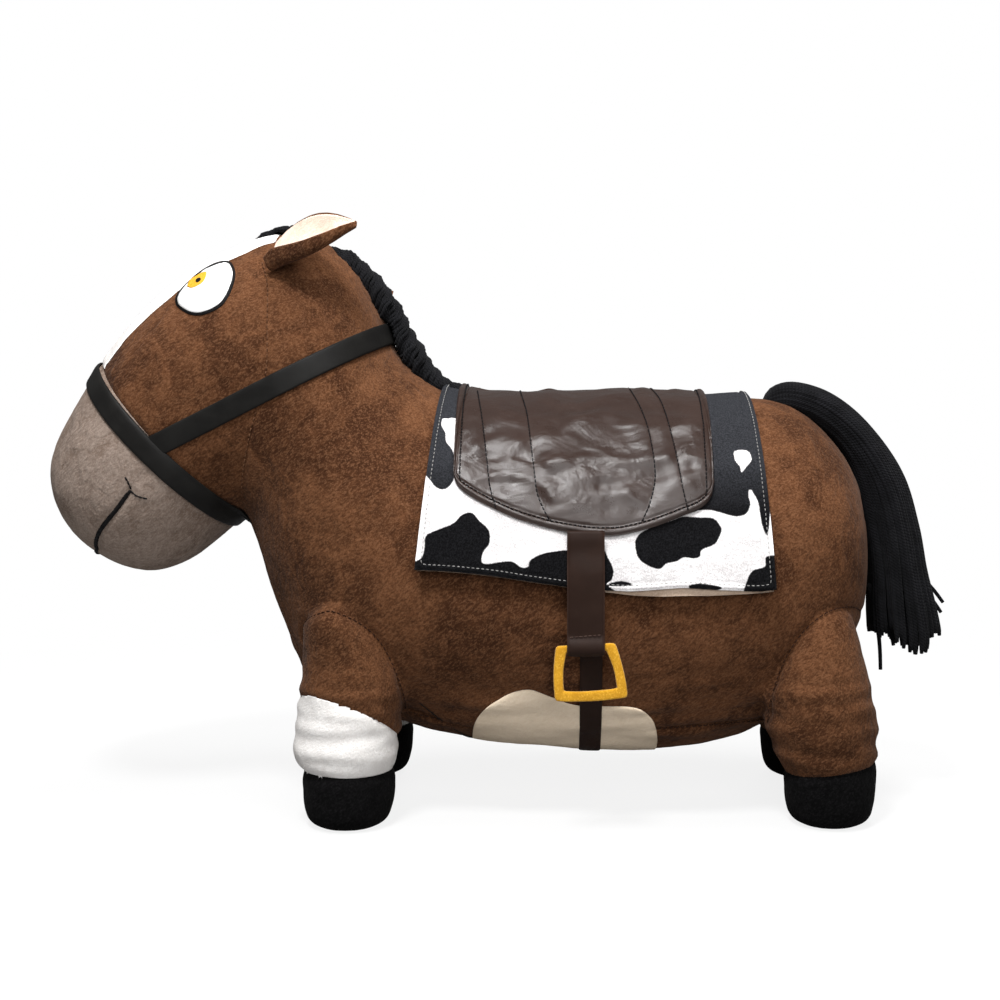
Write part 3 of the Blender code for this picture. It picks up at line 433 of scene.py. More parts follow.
def wired(tree, kind, inputs, **settings):
    """Adds a node to a tree. inputs gives its sockets values, or other nodes' outputs."""
    node = tree.nodes.new("ShaderNode" + kind)
    for key, value in settings.items():
        setattr(node, key, value)
    for key, value in inputs.items():
        if isinstance(value, bpy.types.NodeSocket):
            tree.links.new(value, node.inputs[key])
        else:
            node.inputs[key].default_value = value
    return node


class Value:
    """A node's output, which can be added, subtracted and multiplied."""

    def __init__(self, shader, socket):
        self.shader = shader
        self.socket = socket

    def __add__(self, other):
        return self.shader.math("ADD", self, other)

    def __sub__(self, other):
        return self.shader.math("SUBTRACT", self, other)

    def __mul__(self, other):
        return self.shader.math("MULTIPLY", self, other)


class Shader:
    """A material with a Principled shader and short calls for its nodes."""

    def __init__(self, name, colour, roughness, **sockets):
        self.material = bpy.data.materials.new(name)
        self.material.use_nodes = True
        self.material.diffuse_color = colour
        self.tree = self.material.node_tree
        self.inputs = self.tree.nodes["Principled BSDF"].inputs
        self.inputs["Base Color"].default_value = colour
        self.inputs["Roughness"].default_value = roughness
        names = {"gloss": "Specular IOR Level", "sheen": "Sheen Weight", "rim": "Sheen Roughness",
                 "tint": "Sheen Tint"}
        for key, value in sockets.items():
            self.inputs[names[key]].default_value = value
        self.place = self.add("TexCoord", "Object")

    def add(self, kind, output, inputs=(), **settings):
        inputs = {key: value.socket if isinstance(value, Value) else value
                  for key, value in dict(inputs).items()}
        return Value(self, wired(self.tree, kind, inputs, **settings).outputs[output])

    def math(self, kind, *values):
        return self.add("Math", 0, enumerate(values), operation=kind)

    def noise(self, scale, detail=2.0, stretch=(1, 1, 1), turn=(0, 0, 0), roughness=0.5, warp=0.0):
        """Noise in the object's space, stretched and turned."""
        where = self.add("Mapping", "Vector", {"Vector": self.place, "Rotation": turn,
                                               "Scale": tuple(1 / v for v in stretch)},
                         vector_type="TEXTURE")
        return self.add("TexNoise", "Fac", {"Vector": where, "Scale": scale, "Detail": detail,
                                            "Roughness": roughness, "Distortion": warp})

    def range(self, value, low, high, to_low=0.0, to_high=1.0):
        return self.add("MapRange", "Result", {"Value": value, "From Min": low, "From Max": high,
                                               "To Min": to_low, "To Max": to_high},
                        interpolation_type="SMOOTHSTEP")

    def mix(self, share, a, b):
        return self.add("Mix", 2, {0: share, 6: a, 7: b}, data_type="RGBA")

    def bump(self, height, distance, strength=1.0, below=None):
        inputs = {"Height": height, "Distance": distance, "Strength": strength}
        if below is not None:
            inputs["Normal"] = below
        return self.add("Bump", "Normal", inputs)

    def finished(self, colour, normal, roughness=None):
        for key, value in (("Base Color", colour), ("Normal", normal), ("Roughness", roughness)):
            if value is not None:
                self.tree.links.new(value.socket, self.inputs[key])
        return self.material


def plush(name, colour, dark, light, sheen=0.10, patchy=1.0, grain=1.0, folds=0.55):
    """Short pile: brushed clouds that lie darker or lighter, and a fine slanting grain."""
    s = Shader(name, colour, 0.95, gloss=0.06, sheen=sheen, rim=0.45,
               tint=tuple(0.35 + 0.65 * c for c in light[:3]) + (1,))
    broad = s.range(s.noise(17, 2.0, warp=0.6), 0.38, 0.60)
    clouds = s.range(s.noise(52, 3.0, (1, 1, 0.8), warp=0.8), 0.34, 0.66)
    brushed = s.range(s.noise(190, 2.0, (1, 1, 0.55), (0.2, 0.7, 0.1), warp=0.5), 0.34, 0.66)
    tufts = s.noise(720, 2.0, (1.0, 1.0, 0.45), (0.35, 0.95, 0.0), 0.55, 0.4)
    fine = s.noise(1500, 1.0, (1.0, 1.0, 0.45), (0.2, 0.6, 0.0))
    nap = s.range(broad * 0.42 + clouds * 0.36 + brushed * 0.22, 0.02, 0.92)
    pile = tufts * 0.6 + fine * 0.4
    body = s.mix(nap * patchy + (1 - patchy) * 0.5, dark, colour)
    body = s.mix(s.range(pile, 0.46, 0.64) * (0.46 * grain), body, light)
    body = s.mix(s.range(pile, 0.50, 0.36) * (0.55 * grain), body, dark)
    waves = s.bump(brushed * 0.35 + clouds * 0.65, 0.0016, folds)
    return s.finished(body, s.bump(pile, 0.0006, 0.9, waves))


def yarn(name, colour, light):
    """Plies that are twisted along each strand, with painted shade in the grooves between them and painted
    light on their crests.
    """
    s = Shader(name, colour, 0.85, gloss=0.08, sheen=0.03, rim=0.5)
    strand = s.add("UVMap", "UV", uv_map="strand")
    around, along = (s.add("SeparateXYZ", axis, {"Vector": strand}) for axis in "XY")
    ply = s.math("ABSOLUTE", s.math("SINE", (around * 3.0 + along * 0.42) * math.pi))
    # The plies' crests are painted lighter and their grooves darker: painted light and shade, varied at
    # random by noise
    shade = s.math("POWER", ply, 0.6) * s.range(s.noise(90), 0.3, 0.7, 0.45, 1.0) * 0.85
    height = s.math("POWER", ply, 0.5) + s.noise(1500) * 0.35
    return s.finished(s.mix(shade, colour, light), s.bump(height, 0.0005))


def leather(name, colour, light, roughness, gloss, crease=0.25, pore=0.00005, ripple=0.0):
    """Coated cloth: fine pores, soft creases, and a gloss that varies."""
    s = Shader(name, colour, roughness, gloss=gloss)
    pores = s.noise(1100, roughness=0.6)
    pebble = s.add("TexVoronoi", "Distance", {"Scale": 1150.0})
    soft = s.noise(26, 3.0, (1, 1, 1.4), warp=0.8)
    worn = s.noise(75, 3.0)
    body = s.mix(s.range(soft * 0.6 + worn * 0.4, 0.38, 0.68) * 0.5, colour, light)
    rough = s.range(worn * 0.7 + pores * 0.3, 0.3, 0.7, roughness - 0.06, roughness + 0.08)
    waves = s.bump(soft, 0.004 * crease, 0.6)
    if ripple:
        waves = s.bump(s.noise(27, 1.0, (0.75, 1, 1.2), (0, 0.25, 0), 0.45, 0.5), ripple, 1.0, waves)
    return s.finished(body, s.bump(pebble * 0.6 + pores * 0.4, pore, 0.5, waves), rough)


def felt(name, colour, dark, light, fuzz, scale=900):
    """Matted fibres."""
    s = Shader(name, colour, 0.9, gloss=0.2, sheen=0.25)
    fibres = s.noise(scale, 3.0, (1, 1, 0.7), (0.4, 0.2, 0.3), 0.65, 0.4)
    tips = s.mix(s.range(fibres, 0.5, 0.72), colour, light)
    body = s.mix(s.range(fibres * 0.6 + s.noise(140) * 0.4, 0.38, 0.62), dark, tips)
    return s.finished(body, s.bump(fibres, fuzz, 0.8))


def thread(name, colour, light, stripe=0.0):
    """Embroidery thread, with satin rows where it has a stripe."""
    s = Shader(name, colour, 0.6, gloss=0.12)
    fine = s.noise(1100, 1.0, (1, 1, 0.25), (0.5, 0.3, 0.7))
    height = fine
    if stripe:
        where = s.add("Mapping", "Vector", {"Vector": s.place, "Rotation": (1, 0, 0)})
        rows = s.add("TexWave", "Fac", {"Vector": where, "Scale": stripe, "Distortion": 1.5, "Detail": 1.0})
        height = fine * 0.4 + rows * 0.6
    return s.finished(s.mix(s.range(fine, 0.35, 0.7) * 0.6, colour, light), s.bump(height, 0.0003, 0.8))


def printed_plush(name, colour):
    """White plush with dark patches. The mesh carries the distance to the nearest patch edge, and a share by
    height that paints the dark patches lighter towards the top: painted top light.
    """
    s = Shader(name, colour, 0.95, gloss=0.06)
    # The second attribute, read here as lift, is painted top light on the dark patches
    edge, lift = (s.add("Attribute", "Fac", attribute_name=key) for key in ("print_edge", "painted_top_light"))
    inside = s.range(edge + (s.noise(900, roughness=0.6) - 0.5) * 0.9, -0.35, 0.35)
    fine = s.noise(1300, 2.0, (1, 1, 0.6), (0.2, 0.5, 0.1), 0.6)
    soft = s.noise(85, 3.0)
    grain = s.range(fine, 0.36, 0.66)
    # low is the dark patches' black, and high the same black painted lighter: painted top light
    pale, bright, low, high = (
        s.mix(grain, srgb(*dark), srgb(*light))
        for dark, light in (((206, 202, 202), (236, 233, 233)), ((220, 217, 217), (244, 242, 242)),
                            ((9, 9, 10), (26, 26, 28)), ((34, 35, 38), (54, 55, 59)))
    )
    ground = s.mix(s.range(soft, 0.42, 0.64), pale, bright)
    waves = s.bump(soft + s.noise(320) * 0.25, 0.0030, 0.6)
    return s.finished(s.mix(inside, ground, s.mix(lift, low, high)), s.bump(fine, 0.0005, 0.7, waves))


BROWN = plush("brown_plush_look", srgb(96, 62, 40), srgb(58, 34, 20), srgb(128, 90, 64))
GREY = plush("grey_plush_look", srgb(146, 130, 119), srgb(112, 94, 82), srgb(178, 163, 152), 0.08, 0.8, 0.7)
WHITE = plush("white_plush_look", srgb(246, 243, 240), srgb(224, 219, 215), srgb(253, 252, 251),
              0.05, 0.7, 0.6, 0.2)
CREAM = plush("cream_plush_look", srgb(246, 226, 200), srgb(232, 211, 184), srgb(252, 238, 218),
              0.05, 0.7, 0.6, 0.3)
# The cream plush painted darker for the blanket's lining: painted shade under the blanket's hem
SHADED_CREAM = plush("blanket_lining_shaded_cream_look", srgb(198, 175, 155), srgb(178, 154, 134), srgb(218, 197, 178),
               0.08, 1.0, 0.8)
LINING = plush("ear_lining_look", srgb(236, 212, 195), srgb(216, 188, 168), srgb(248, 232, 219),
               0.05, 0.8, 0.7, 0.3)
BLACK = plush("black_plush_look", srgb(14, 13, 14), srgb(6, 6, 6), srgb(34, 33, 34), 0.03, 0.8, 0.8)
COW = printed_plush("cow_plush_look", srgb(236, 234, 233))
YARN = yarn("black_yarn_look", srgb(7, 7, 8), srgb(27, 27, 30))
STRAP = leather("black_strap_look", srgb(21, 20, 19), srgb(33, 32, 30), 0.55, 0.16, pore=0.00012)
SADDLE = leather("saddle_leather_look", srgb(46, 33, 28), srgb(55, 40, 34), 0.32, 0.54, 1.0, 0.00010, 0.0027)
LEATHER = leather("strap_leather_look", srgb(38, 24, 18), srgb(50, 34, 27), 0.50, 0.12)
YELLOW = felt("yellow_felt_look", srgb(216, 158, 34), srgb(200, 142, 24), srgb(236, 184, 66), 0.0005)
EYE_WHITE = felt("eye_white_look", srgb(250, 250, 249), srgb(244, 243, 242), srgb(255, 255, 255),
                 0.0002, 1400)
IRIS = thread("iris_look", srgb(236, 168, 40), srgb(248, 198, 84), 900.0)
DARK_THREAD = thread("dark_thread_look", srgb(14, 13, 14), srgb(36, 35, 36))
SEAM_THREAD = thread("seam_thread_look", srgb(40, 22, 13), srgb(62, 38, 25))
PALE_THREAD = thread("pale_thread_look", srgb(150, 148, 146), srgb(196, 194, 190))
STRAP_THREAD = thread("strap_thread_look", srgb(66, 50, 44), srgb(96, 78, 70))
FACE_THREAD = thread("face_thread_look", srgb(84, 54, 36), srgb(126, 92, 68))


# Plush skin
SKIN_STEPS = 8
BODY_SIDES, LEG_SIDES = 128, 64
SOLE_DROP = 0.0005
VOXEL = 0.0026


def body_loft():
    """Overlapping surfaces of the stuffed body, from muzzle to rump, and of the four legs."""
    rows = [tuple(place(a)) + tuple(place(b)) + (w * BODY_WIDTH / 2,) for a, b, w in SECTIONS]
    turns = np.arange(BODY_SIDES) * math.tau / BODY_SIDES
    rings = []
    for row in smoothed(rows, SKIN_STEPS):
        top, bottom, half = row[:3], row[3:6], row[6]
        up, centre = (top - bottom) / 2, (top + bottom) / 2
        rings.append(centre + np.outer(np.cos(turns), up) + np.outer(np.sin(turns), (0, half, 0)))
    lofts = [rings]
    turns = np.arange(LEG_SIDES) * math.tau / LEG_SIDES
    for leg_x, levels in LEGS.values():
        rows = [(leg_x + along * LEG_WIDTH, -LEG_SPACING / 2 - out * LEG_WIDTH,
                 height * LEG_HEIGHT - SOLE_DROP, length * LEG_WIDTH / 2, width * LEG_WIDTH / 2)
                for height, along, out, length, width in levels]
        for side in (1, -1):
            lofts.append([np.stack([x + a * np.cos(turns), side * (y + b * np.sin(turns)),
                                    np.full(LEG_SIDES, z)], 1)
                          for x, y, z, a, b in smoothed(rows, SKIN_STEPS)])
    return [mesh_object("loft", np.concatenate(rings), ring_faces(len(rings), len(rings[0])), BROWN)
            for rings in lofts]


def joined(parts, name):
    """One object in place of several."""
    form = bmesh.new()
    for part in parts:
        form.from_mesh(part.data)
        bpy.data.objects.remove(part)
    mesh = bpy.data.meshes.new(name)
    form.to_mesh(mesh)
    form.free()
    mesh.materials.append(BROWN)
    return linked(name, mesh)


def remeshed(obj, size):
    """Replaces the object's mesh by one even skin round it."""
    remesh = obj.modifiers.new("remesh", "REMESH")
    remesh.mode = "VOXEL"
    remesh.voxel_size = size
    bpy.context.view_layer.update()
    mesh = bpy.data.meshes.new_from_object(obj.evaluated_get(bpy.context.evaluated_depsgraph_get()))
    obj.modifiers.clear()
    obj.data = mesh


def relaxed(obj, rounds):
    """The places of the mesh's vertices after smoothing that keeps the volume."""
    co = coords(obj)
    edges = np.empty(len(obj.data.edges) * 2, np.int32)
    obj.data.edges.foreach_get("vertices", edges)
    edges = edges.reshape(-1, 2)
    count = np.bincount(edges.ravel(), minlength=len(co))[:, None]
    for pull in (0.5, -0.52) * rounds:
        total = np.stack([np.bincount(edges[:, 0], co[edges[:, 1], k], len(co))
                          + np.bincount(edges[:, 1], co[edges[:, 0], k], len(co)) for k in range(3)], 1)
        co = co + (total / count - co) * pull
    return co


def stand(obj, co):
    """Gives the mesh's vertices new places, none of them below the floor."""
    co[:, 2] = np.maximum(co[:, 2], 0.0)
    obj.data.vertices.foreach_set("co", co.ravel())
    obj.data.update()


skin = joined(body_loft(), "plush_skin")
remeshed(skin, VOXEL)
stand(skin, relaxed(skin, 6))


def in_leg(x, reach, top, sign):
    """A test for points of one leg near x, below top, on the side that sign gives."""
    return lambda c: abs(c.x - x) < reach and c.y * sign < -0.02 and c.z < top


def seam_planes():
    """The planes of the colour seams: the panel they bound, a point, a normal, and a test."""
    top, bottom = place(SECTIONS[MUZZLE_SEAM][0]), place(SECTIONS[MUZZLE_SEAM][1])
    rear = Vector((0, 1, 0)).cross(Vector(bottom - top).normalized()).normalized() * -1
    planes = [("muzzle", Vector(top), rear, lambda c: c.x < -0.1855 and c.z > 0.12)]
    for hand, sign in (("left", 1), ("right", -1)):
        planes += [
            (f"hoof_front_{hand}", Vector((FRONT_LEG_X, 0, HOOF_HEIGHT)), Vector((0, 0, 1)),
             in_leg(FRONT_LEG_X, 0.052, 0.108, sign)),
            (f"stocking_front_{hand}", Vector((FRONT_LEG_X, -sign * LEG_SPACING / 2, STOCKING_HEIGHT)),
             Vector((0.38, 0.40 * sign, 1)).normalized(), in_leg(FRONT_LEG_X, 0.055, 0.118, sign)),
            (f"hoof_rear_{hand}", Vector((REAR_LEG_X, 0, HOOF_HEIGHT)), Vector((-0.13, 0, 1)).normalized(),
             in_leg(0.235, 0.055, 0.108, sign)),
        ]
    return planes


PLANES = seam_planes()


def cut_skin():
    """Cuts the skin along its colour seams. Returns the points of the cuts."""
    form = bmesh.new()
    form.from_mesh(skin.data)
    points = []
    for _, point, normal, inside in PLANES:
        faces = [f for f in form.faces if inside(f.calc_center_median())]
        geom = dict.fromkeys(part for f in faces for part in (f, *f.edges, *f.verts))
        cut = bmesh.ops.bisect_plane(form, geom=list(geom), plane_co=point, plane_no=normal, dist=1e-5)
        points += [tuple(v.co) for v in cut["geom_cut"] if isinstance(v, bmesh.types.BMVert)]
    form.to_mesh(skin.data)
    form.free()
    skin.data.update()
    return np.array(points)


cut_points = cut_skin()
first_tree = tree_of(skin)
# Lines on the left side, in pixels of the photograph
SEAM_LINES = {
    "neck": [(262, 262), (267, 283), (267, 325), (266, 370), (258, 403), (249, 437), (243, 470), (241, 496)],
    "front": [(303, 640), (305, 622), (320, 613), (335, 612), (362, 625), (382, 645), (397, 675),
              (405, 700), (406, 711)],
    "rear": [(767, 722), (772, 695), (785, 660), (805, 630), (830, 611), (852, 607), (864, 613)],
    "belly": [(408, 712), (425, 716), (450, 722), (470, 727)],
    "belly_rear": [(657, 729), (690, 726.5), (725, 724), (764, 720)],
    "dart": [(133, 486), (141, 479), (150, 471)],
}
seams = {name: seen_curve(first_tree, pixels) for name, pixels in SEAM_LINES.items()}
MOUTH = [(97, 549), (96, 544), (97, 538), (100.5, 530), (107, 521), (116, 510), (124, 499), (130.5, 490.5)]
BRANCH_UP = [(131, 489), (128, 482), (124, 475)]
BRANCH_DOWN = [(131, 491), (137, 496), (148, 499)]
SEAM_DEPTH, SEAM_WIDTH, SEAM_REACH = 0.0014, 0.0024, 0.012


def sink_seams():
    """Draws the plush in along its seams, lifts it a little beside them, and leaves it uneven."""
    lines = [(cut_points, 0.0012, 0.0022)]
    for name, (where, _) in seams.items():
        depth = {"neck": 0.0010, "dart": 0.0008}.get(name, SEAM_DEPTH)
        lines += [(path, depth, SEAM_WIDTH) for path in (where, where * (1, -1, 1))]
    mouth, _ = seen_curve(first_tree, MOUTH)
    lines += [(path, 0.0016, 0.0030) for path in (mouth, mouth * (1, -1, 1))]
    co = coords(skin)
    move = np.zeros(len(co))
    for path, depth, width in lines:
        tree = KDTree(len(path))
        for i, p in enumerate(path):
            tree.insert(p, i)
        tree.balance()
        near = ((co > path.min(0) - SEAM_REACH) & (co < path.max(0) + SEAM_REACH)).all(1)
        for i in np.flatnonzero(near):
            away = tree.find(co[i])[2]
            if away < SEAM_REACH:
                pull = depth * (0.22 * hump(away - 0.0065, 0.003) - hump(away, width))
                if pull < 0 or move[i] == 0:
                    move[i] = min(move[i], pull) if pull < 0 else pull
    soft = 0.0011 * wobbles(co, 17) + 0.0006 * wobbles(co, 41, 7.0) + 0.00022 * wobbles(co, 150, 3.0)
    creases = 0.0030 * wobbles(co * (0.3, 0.3, 1.6), 62, 11.0)
    soft += creases * ramp(co[:, 2], 0.125, 0.095) * ramp(co[:, 2], 0.040, 0.052)
    soft *= ramp(co[:, 2], 0, 0.02)
    stand(skin, co + coords(skin, "normal") * (move + soft)[:, None])


sink_seams()
skin_tree = tree_of(skin)
BODY_NODES = ["torso", "neck", "head", "leg_front_left", "leg_front_right", "leg_rear_left",
              "leg_rear_right"]
PANELS = {"body": (BROWN, "brown_plush"), "muzzle": (GREY, "grey_plush"),
          "stocking": (WHITE, "white_plush"), "hoof": (BLACK, "black_plush")}


def split_skin():
    """Separates the skin into its sewn panels by colour, each closed behind its seam."""
    groups = {}
    for face in skin.data.polygons:
        name = next((panel for panel, point, normal, inside in PLANES
                     if inside(face.center) and (face.center - point).dot(normal) < 0), "body")
        groups.setdefault(name, set()).add(face.index)
    for name, keep in groups.items():
        form = bmesh.new()
        form.from_mesh(skin.data)
        bmesh.ops.delete(form, geom=[f for f in form.faces if f.index not in keep], context="FACES")
        bmesh.ops.holes_fill(form, edges=[e for e in form.edges if e.is_boundary])
        bmesh.ops.recalc_face_normals(form, faces=form.faces)
        mesh = bpy.data.meshes.new("plush_" + name)
        form.to_mesh(mesh)
        form.free()
        look, slot = PANELS[name.split("_")[0]]
        mesh.materials.clear()
        mesh.materials.append(look)
        mesh.shade_smooth()
        panel = linked("plush_" + name, mesh)
        riding(panel, "horse", slot, *(BODY_NODES if name == "body" else [name]))
    bpy.data.objects.remove(skin)


split_skin()


# Patches and embroidery
def both_sides(name, points, faces, material, slot, nodes):
    """The same piece on both sides of the horse; nodes gives what it stands for, if anything."""
    for hand, sign in (("left", 1), ("right", -1)):
        obj = mesh_object(f"{name}_{hand}", points * (1, sign, 1), faces, material)
        riding(obj, "horse", slot, *(f"{node}_{hand}" for node in nodes))


def polar_patch(name, centre, outline, lift, crown, material, slot, nodes, steps):
    """A domed patch within an outline in the photograph's pixels, on both sides of the face."""
    rings = 10
    rim = smoothed(list(outline) + [outline[0]], steps)[:-1]
    count = len(rim)
    centre = np.array(centre, float)
    tops, lows = [], []
    for ring in range(rings + 1):
        share = ring / rings
        for k in range(count if ring else 1):
            hit, normal = seen(face_tree, *(centre + (rim[k] - centre) * share))
            tops.append(hit + normal * (lift + crown * math.sqrt(max(0, 1 - share**3))))
            lows.append(hit - normal * 0.0006)
    first = len(tops)
    last = 1 + (rings - 1) * count
    faces = []
    for k in range(count):
        after = (k + 1) % count
        for base in (0, first):
            faces.append((base, base + 1 + k, base + 1 + after))
            for ring in range(rings - 1):
                a, b = base + 1 + ring * count, base + 1 + (ring + 1) * count
                faces.append((a + k, b + k, b + after, a + after))
        faces.append((last + k, last + after, first + last + after, first + last + k))
    both_sides(name, np.array([tuple(p) for p in tops + lows]), faces, material, slot, nodes)


def cloth(name, grid, outward, lift, thickness, edge, look, slot, node, relief=0, lower=0):
    """A thin piece of the horse itself that stands for one node."""
    obj, top = padded_grid(name, grid, outward, lift, thickness, edge, look, relief, lower)
    riding(obj, "horse", slot, node)
    return obj, top


# The belly patch's upper edge on the left side, in pixels of the photograph
BELLY_EDGE = [
    (472.5, 738), (473.5, 727), (478, 717), (486, 708), (497, 700.5), (512, 692.5), (530, 689.5),
    (549, 696), (574, 704.5), (600, 706), (628, 706.5), (642, 710), (652, 719), (656, 729), (657.5, 740),
]


def belly_patch_piece():
    """The light patch: columns along the body, rows round the belly between its two upper edges."""
    upper = np.array([tuple(seen(skin_tree, *p)[0]) for p in smoothed(BELLY_EDGE, 6)])
    turn = np.arctan2(-upper[:, 1], WRAP_HEIGHT - upper[:, 2])
    x0, x1 = upper[0, 0], upper[-1, 0]
    end = 0.014
    xs = np.r_[np.linspace(x0, x0 + end, 22)[:-1], np.linspace(x0 + end, x1 - end, 44)[:-1],
               np.linspace(x1 - end, x1, 22)]
    order = np.argsort(upper[:, 0])
    reach = np.interp(xs, upper[order, 0], turn[order])
    rows = 110

    def ray(r, c):
        at = reach[c] * (2 * r / (rows - 1) - 1)
        return (xs[c], 0, WRAP_HEIGHT), (0, -math.sin(at), -math.cos(at))

    grid, outward = cast(skin_tree, rows, len(xs), ray)
    cloth("belly_patch_plush", grid, outward, -0.0004, 0.0014, 0.004, CREAM, "cream_plush", "belly_patch")


def blaze_piece():
    """The white patch from the muzzle's seam up over the forehead."""
    pivot = place((0.262, 0.604))
    low, high = place((0.066, 0.762)) - pivot, place((0.283, 0.975)) - pivot
    first, last = math.atan2(low[2], low[0]), math.atan2(high[2], high[0])
    half = 0.037
    widths = smoothed([(w,) for w in (0.95, 1.02, 1.06, 1.06, 1.04, 1.03, 1.03, 1.03, 0.98, 0.78)], 12)[:, 0]
    rows, columns = len(widths), 60

    def ray(r, c):
        at = first + (last - first) * r / (rows - 1)
        side = (2 * c / (columns - 1) - 1) * widths[r] * half
        return pivot + (0, side, 0), (math.cos(at), 0, math.sin(at))

    grid, outward = cast(skin_tree, rows, columns, ray)
    cloth("blaze_plush", grid, outward, -0.0005, 0.0016, 0.004, WHITE, "white_plush", "blaze")


belly_patch_piece()
blaze_piece()
face_tree = tree_of(bpy.data.objects["plush_body"], bpy.data.objects["blaze_plush"])
# The left eye, in pixels of the photograph
EYE_CENTRE = (206, 288)
EYE_OUTLINE = [
    (175.6, 300), (178.1, 293.8), (185, 285.5), (193.8, 277.2), (203.8, 269.6), (215, 263.8),
    (225, 261.3), (231.5, 263.3), (235, 270), (235.2, 277.5), (232.6, 287.5), (228.1, 297.5),
    (221.3, 306.3), (210, 312.8), (198.8, 315.6), (190, 314.6), (182.5, 310.8), (176.9, 305.8),
]
IRIS_OUTLINE = [
    (188.6, 287.8), (190.6, 282.4), (196.0, 277.6), (202.4, 274.4), (207.4, 273.6), (207.0, 278.4),
    (203.6, 284.0), (198.2, 287.6), (192.6, 289.4),
]
IRIS_CENTRE = (198.0, 281.5)
PUPIL_CENTRE = (199.9, 282.0)
PUPIL_LONG, PUPIL_SHORT = 2.9, 1.7


def eye_pieces():
    """Embroidered layers: a dark rim, the white inside it, the iris and a slanting oval pupil."""
    white_rim = []
    for x, y in EYE_OUTLINE:
        dx, dy = x - EYE_CENTRE[0], y - EYE_CENTRE[1]
        share = 1 - (2.7 if dx > 0 or dy > 4 else 1.7) / math.hypot(dx, dy)
        white_rim.append((EYE_CENTRE[0] + dx * share, EYE_CENTRE[1] + dy * share))
    pupil = [(PUPIL_CENTRE[0] + PUPIL_LONG * math.cos(t) * 0.80 + PUPIL_SHORT * math.sin(t) * 0.60,
              PUPIL_CENTRE[1] - PUPIL_LONG * math.cos(t) * 0.60 + PUPIL_SHORT * math.sin(t) * 0.80)
             for t in (math.tau * k / 12 for k in range(12))]
    for name, outline, centre, lift, crown, look, slot, nodes, steps in (
        ("eye_rim", EYE_OUTLINE, EYE_CENTRE, 0.0008, 0.0003, DARK_THREAD, "black_felt", [], 8),
        ("eye_white", white_rim, EYE_CENTRE, 0.0010, 0.0007, EYE_WHITE, "white_felt", ["eye"], 8),
        ("eye_iris", IRIS_OUTLINE, IRIS_CENTRE, 0.0018, 0.0003, IRIS, "yellow_felt", ["iris"], 5),
        ("eye_pupil", pupil, PUPIL_CENTRE, 0.0023, 0.0003, DARK_THREAD, "black_felt", ["pupil"], 5),
    ):
        polar_patch(name, centre, outline, lift, crown, look, slot, nodes, steps)


def mouth_piece():
    """The embroidered mouth, round the front of the muzzle from side to side, and its branches."""
    left = np.concatenate(seen_curve(skin_tree, MOUTH), axis=1)
    bridge = []
    for side in np.linspace(1, -1, 9)[1:-1]:
        inside = left[0, :3] * (1, side, 1) + (0.01, 0, 0.012)
        hit, normal = outermost(skin_tree, inside, (-0.64, -0.2 * side, -0.77))
        bridge.append(tuple(hit) + tuple(normal))
    line = resampled(np.r_[left[::-1], bridge, left * (1, -1, 1, 1, -1, 1)], 0.0012)
    points, out = line[:, :3], unit(line[:, 3:])
    count = len(points)
    share = np.abs(np.linspace(-1, 1, count))
    radius = np.interp(share, (0, 0.55, 0.9, 1), (0.0008, 0.0010, 0.0009, 0.0006))
    strands = [(points + out * 0.0002, radius)]
    rough = np.random.default_rng(11)
    for i in range(2, count - 2):
        ahead = unit(points[i + 1] - points[i - 1])
        side = np.cross(ahead, out[i])
        lean = rough.uniform(-0.5, 0.5)
        reach = radius[i] * rough.uniform(0.9, 1.5)
        s = np.array((-1, -0.6, 0, 0.6, 1))[:, None]
        rise = 0.0004 + radius[i] * 0.9 * (1 - s * s)
        strands.append((points[i] + (side + ahead * lean) * reach * s + out[i] * rise, 0.00030))
    for branch in (BRANCH_UP, BRANCH_DOWN):
        path = seen_curve(skin_tree, branch)
        for one in (path, flip(path)):
            stitches(strands, one, 0.0032, 0.0001, 0.00060, 0.1)
    riding(tubes("mouth_embroidery", strands, DARK_THREAD, 7), "horse", "black_felt")


def seam_pieces():
    """Sunken thread along the seams of the legs, the belly and the neck."""
    for name, look, chosen in (("seam_stitches", SEAM_THREAD, ("front", "rear", "belly", "belly_rear")),
                               ("face_stitches", FACE_THREAD, ("neck",))):
        strands = []
        for one in [part for seam in chosen for part in on_surface(skin_tree, seams[seam])]:
            for path in (one, flip(one)):
                stitches(strands, path, 0.0030, 0.0012, 0.00042, -0.7)
        riding(tubes(name, strands, look), "horse", "brown_plush")


eye_pieces()
mouth_piece()
seam_pieces()


# Straps. Places across a strap, and how far its rounded edges drop there, in shares of its thickness
STRAP_ACROSS = (-1.0, -0.93, -0.8, -0.5, 0, 0.5, 0.8, 0.93, 1.0)
STRAP_DROP = np.array((0.42, 0.12, 0.02, 0, 0, 0, 0.02, 0.12, 0.42))
BRIDLE_WIDTH, GIRTH_WIDTH, STRAP_THICKNESS = 0.016, 0.0155, 0.0020


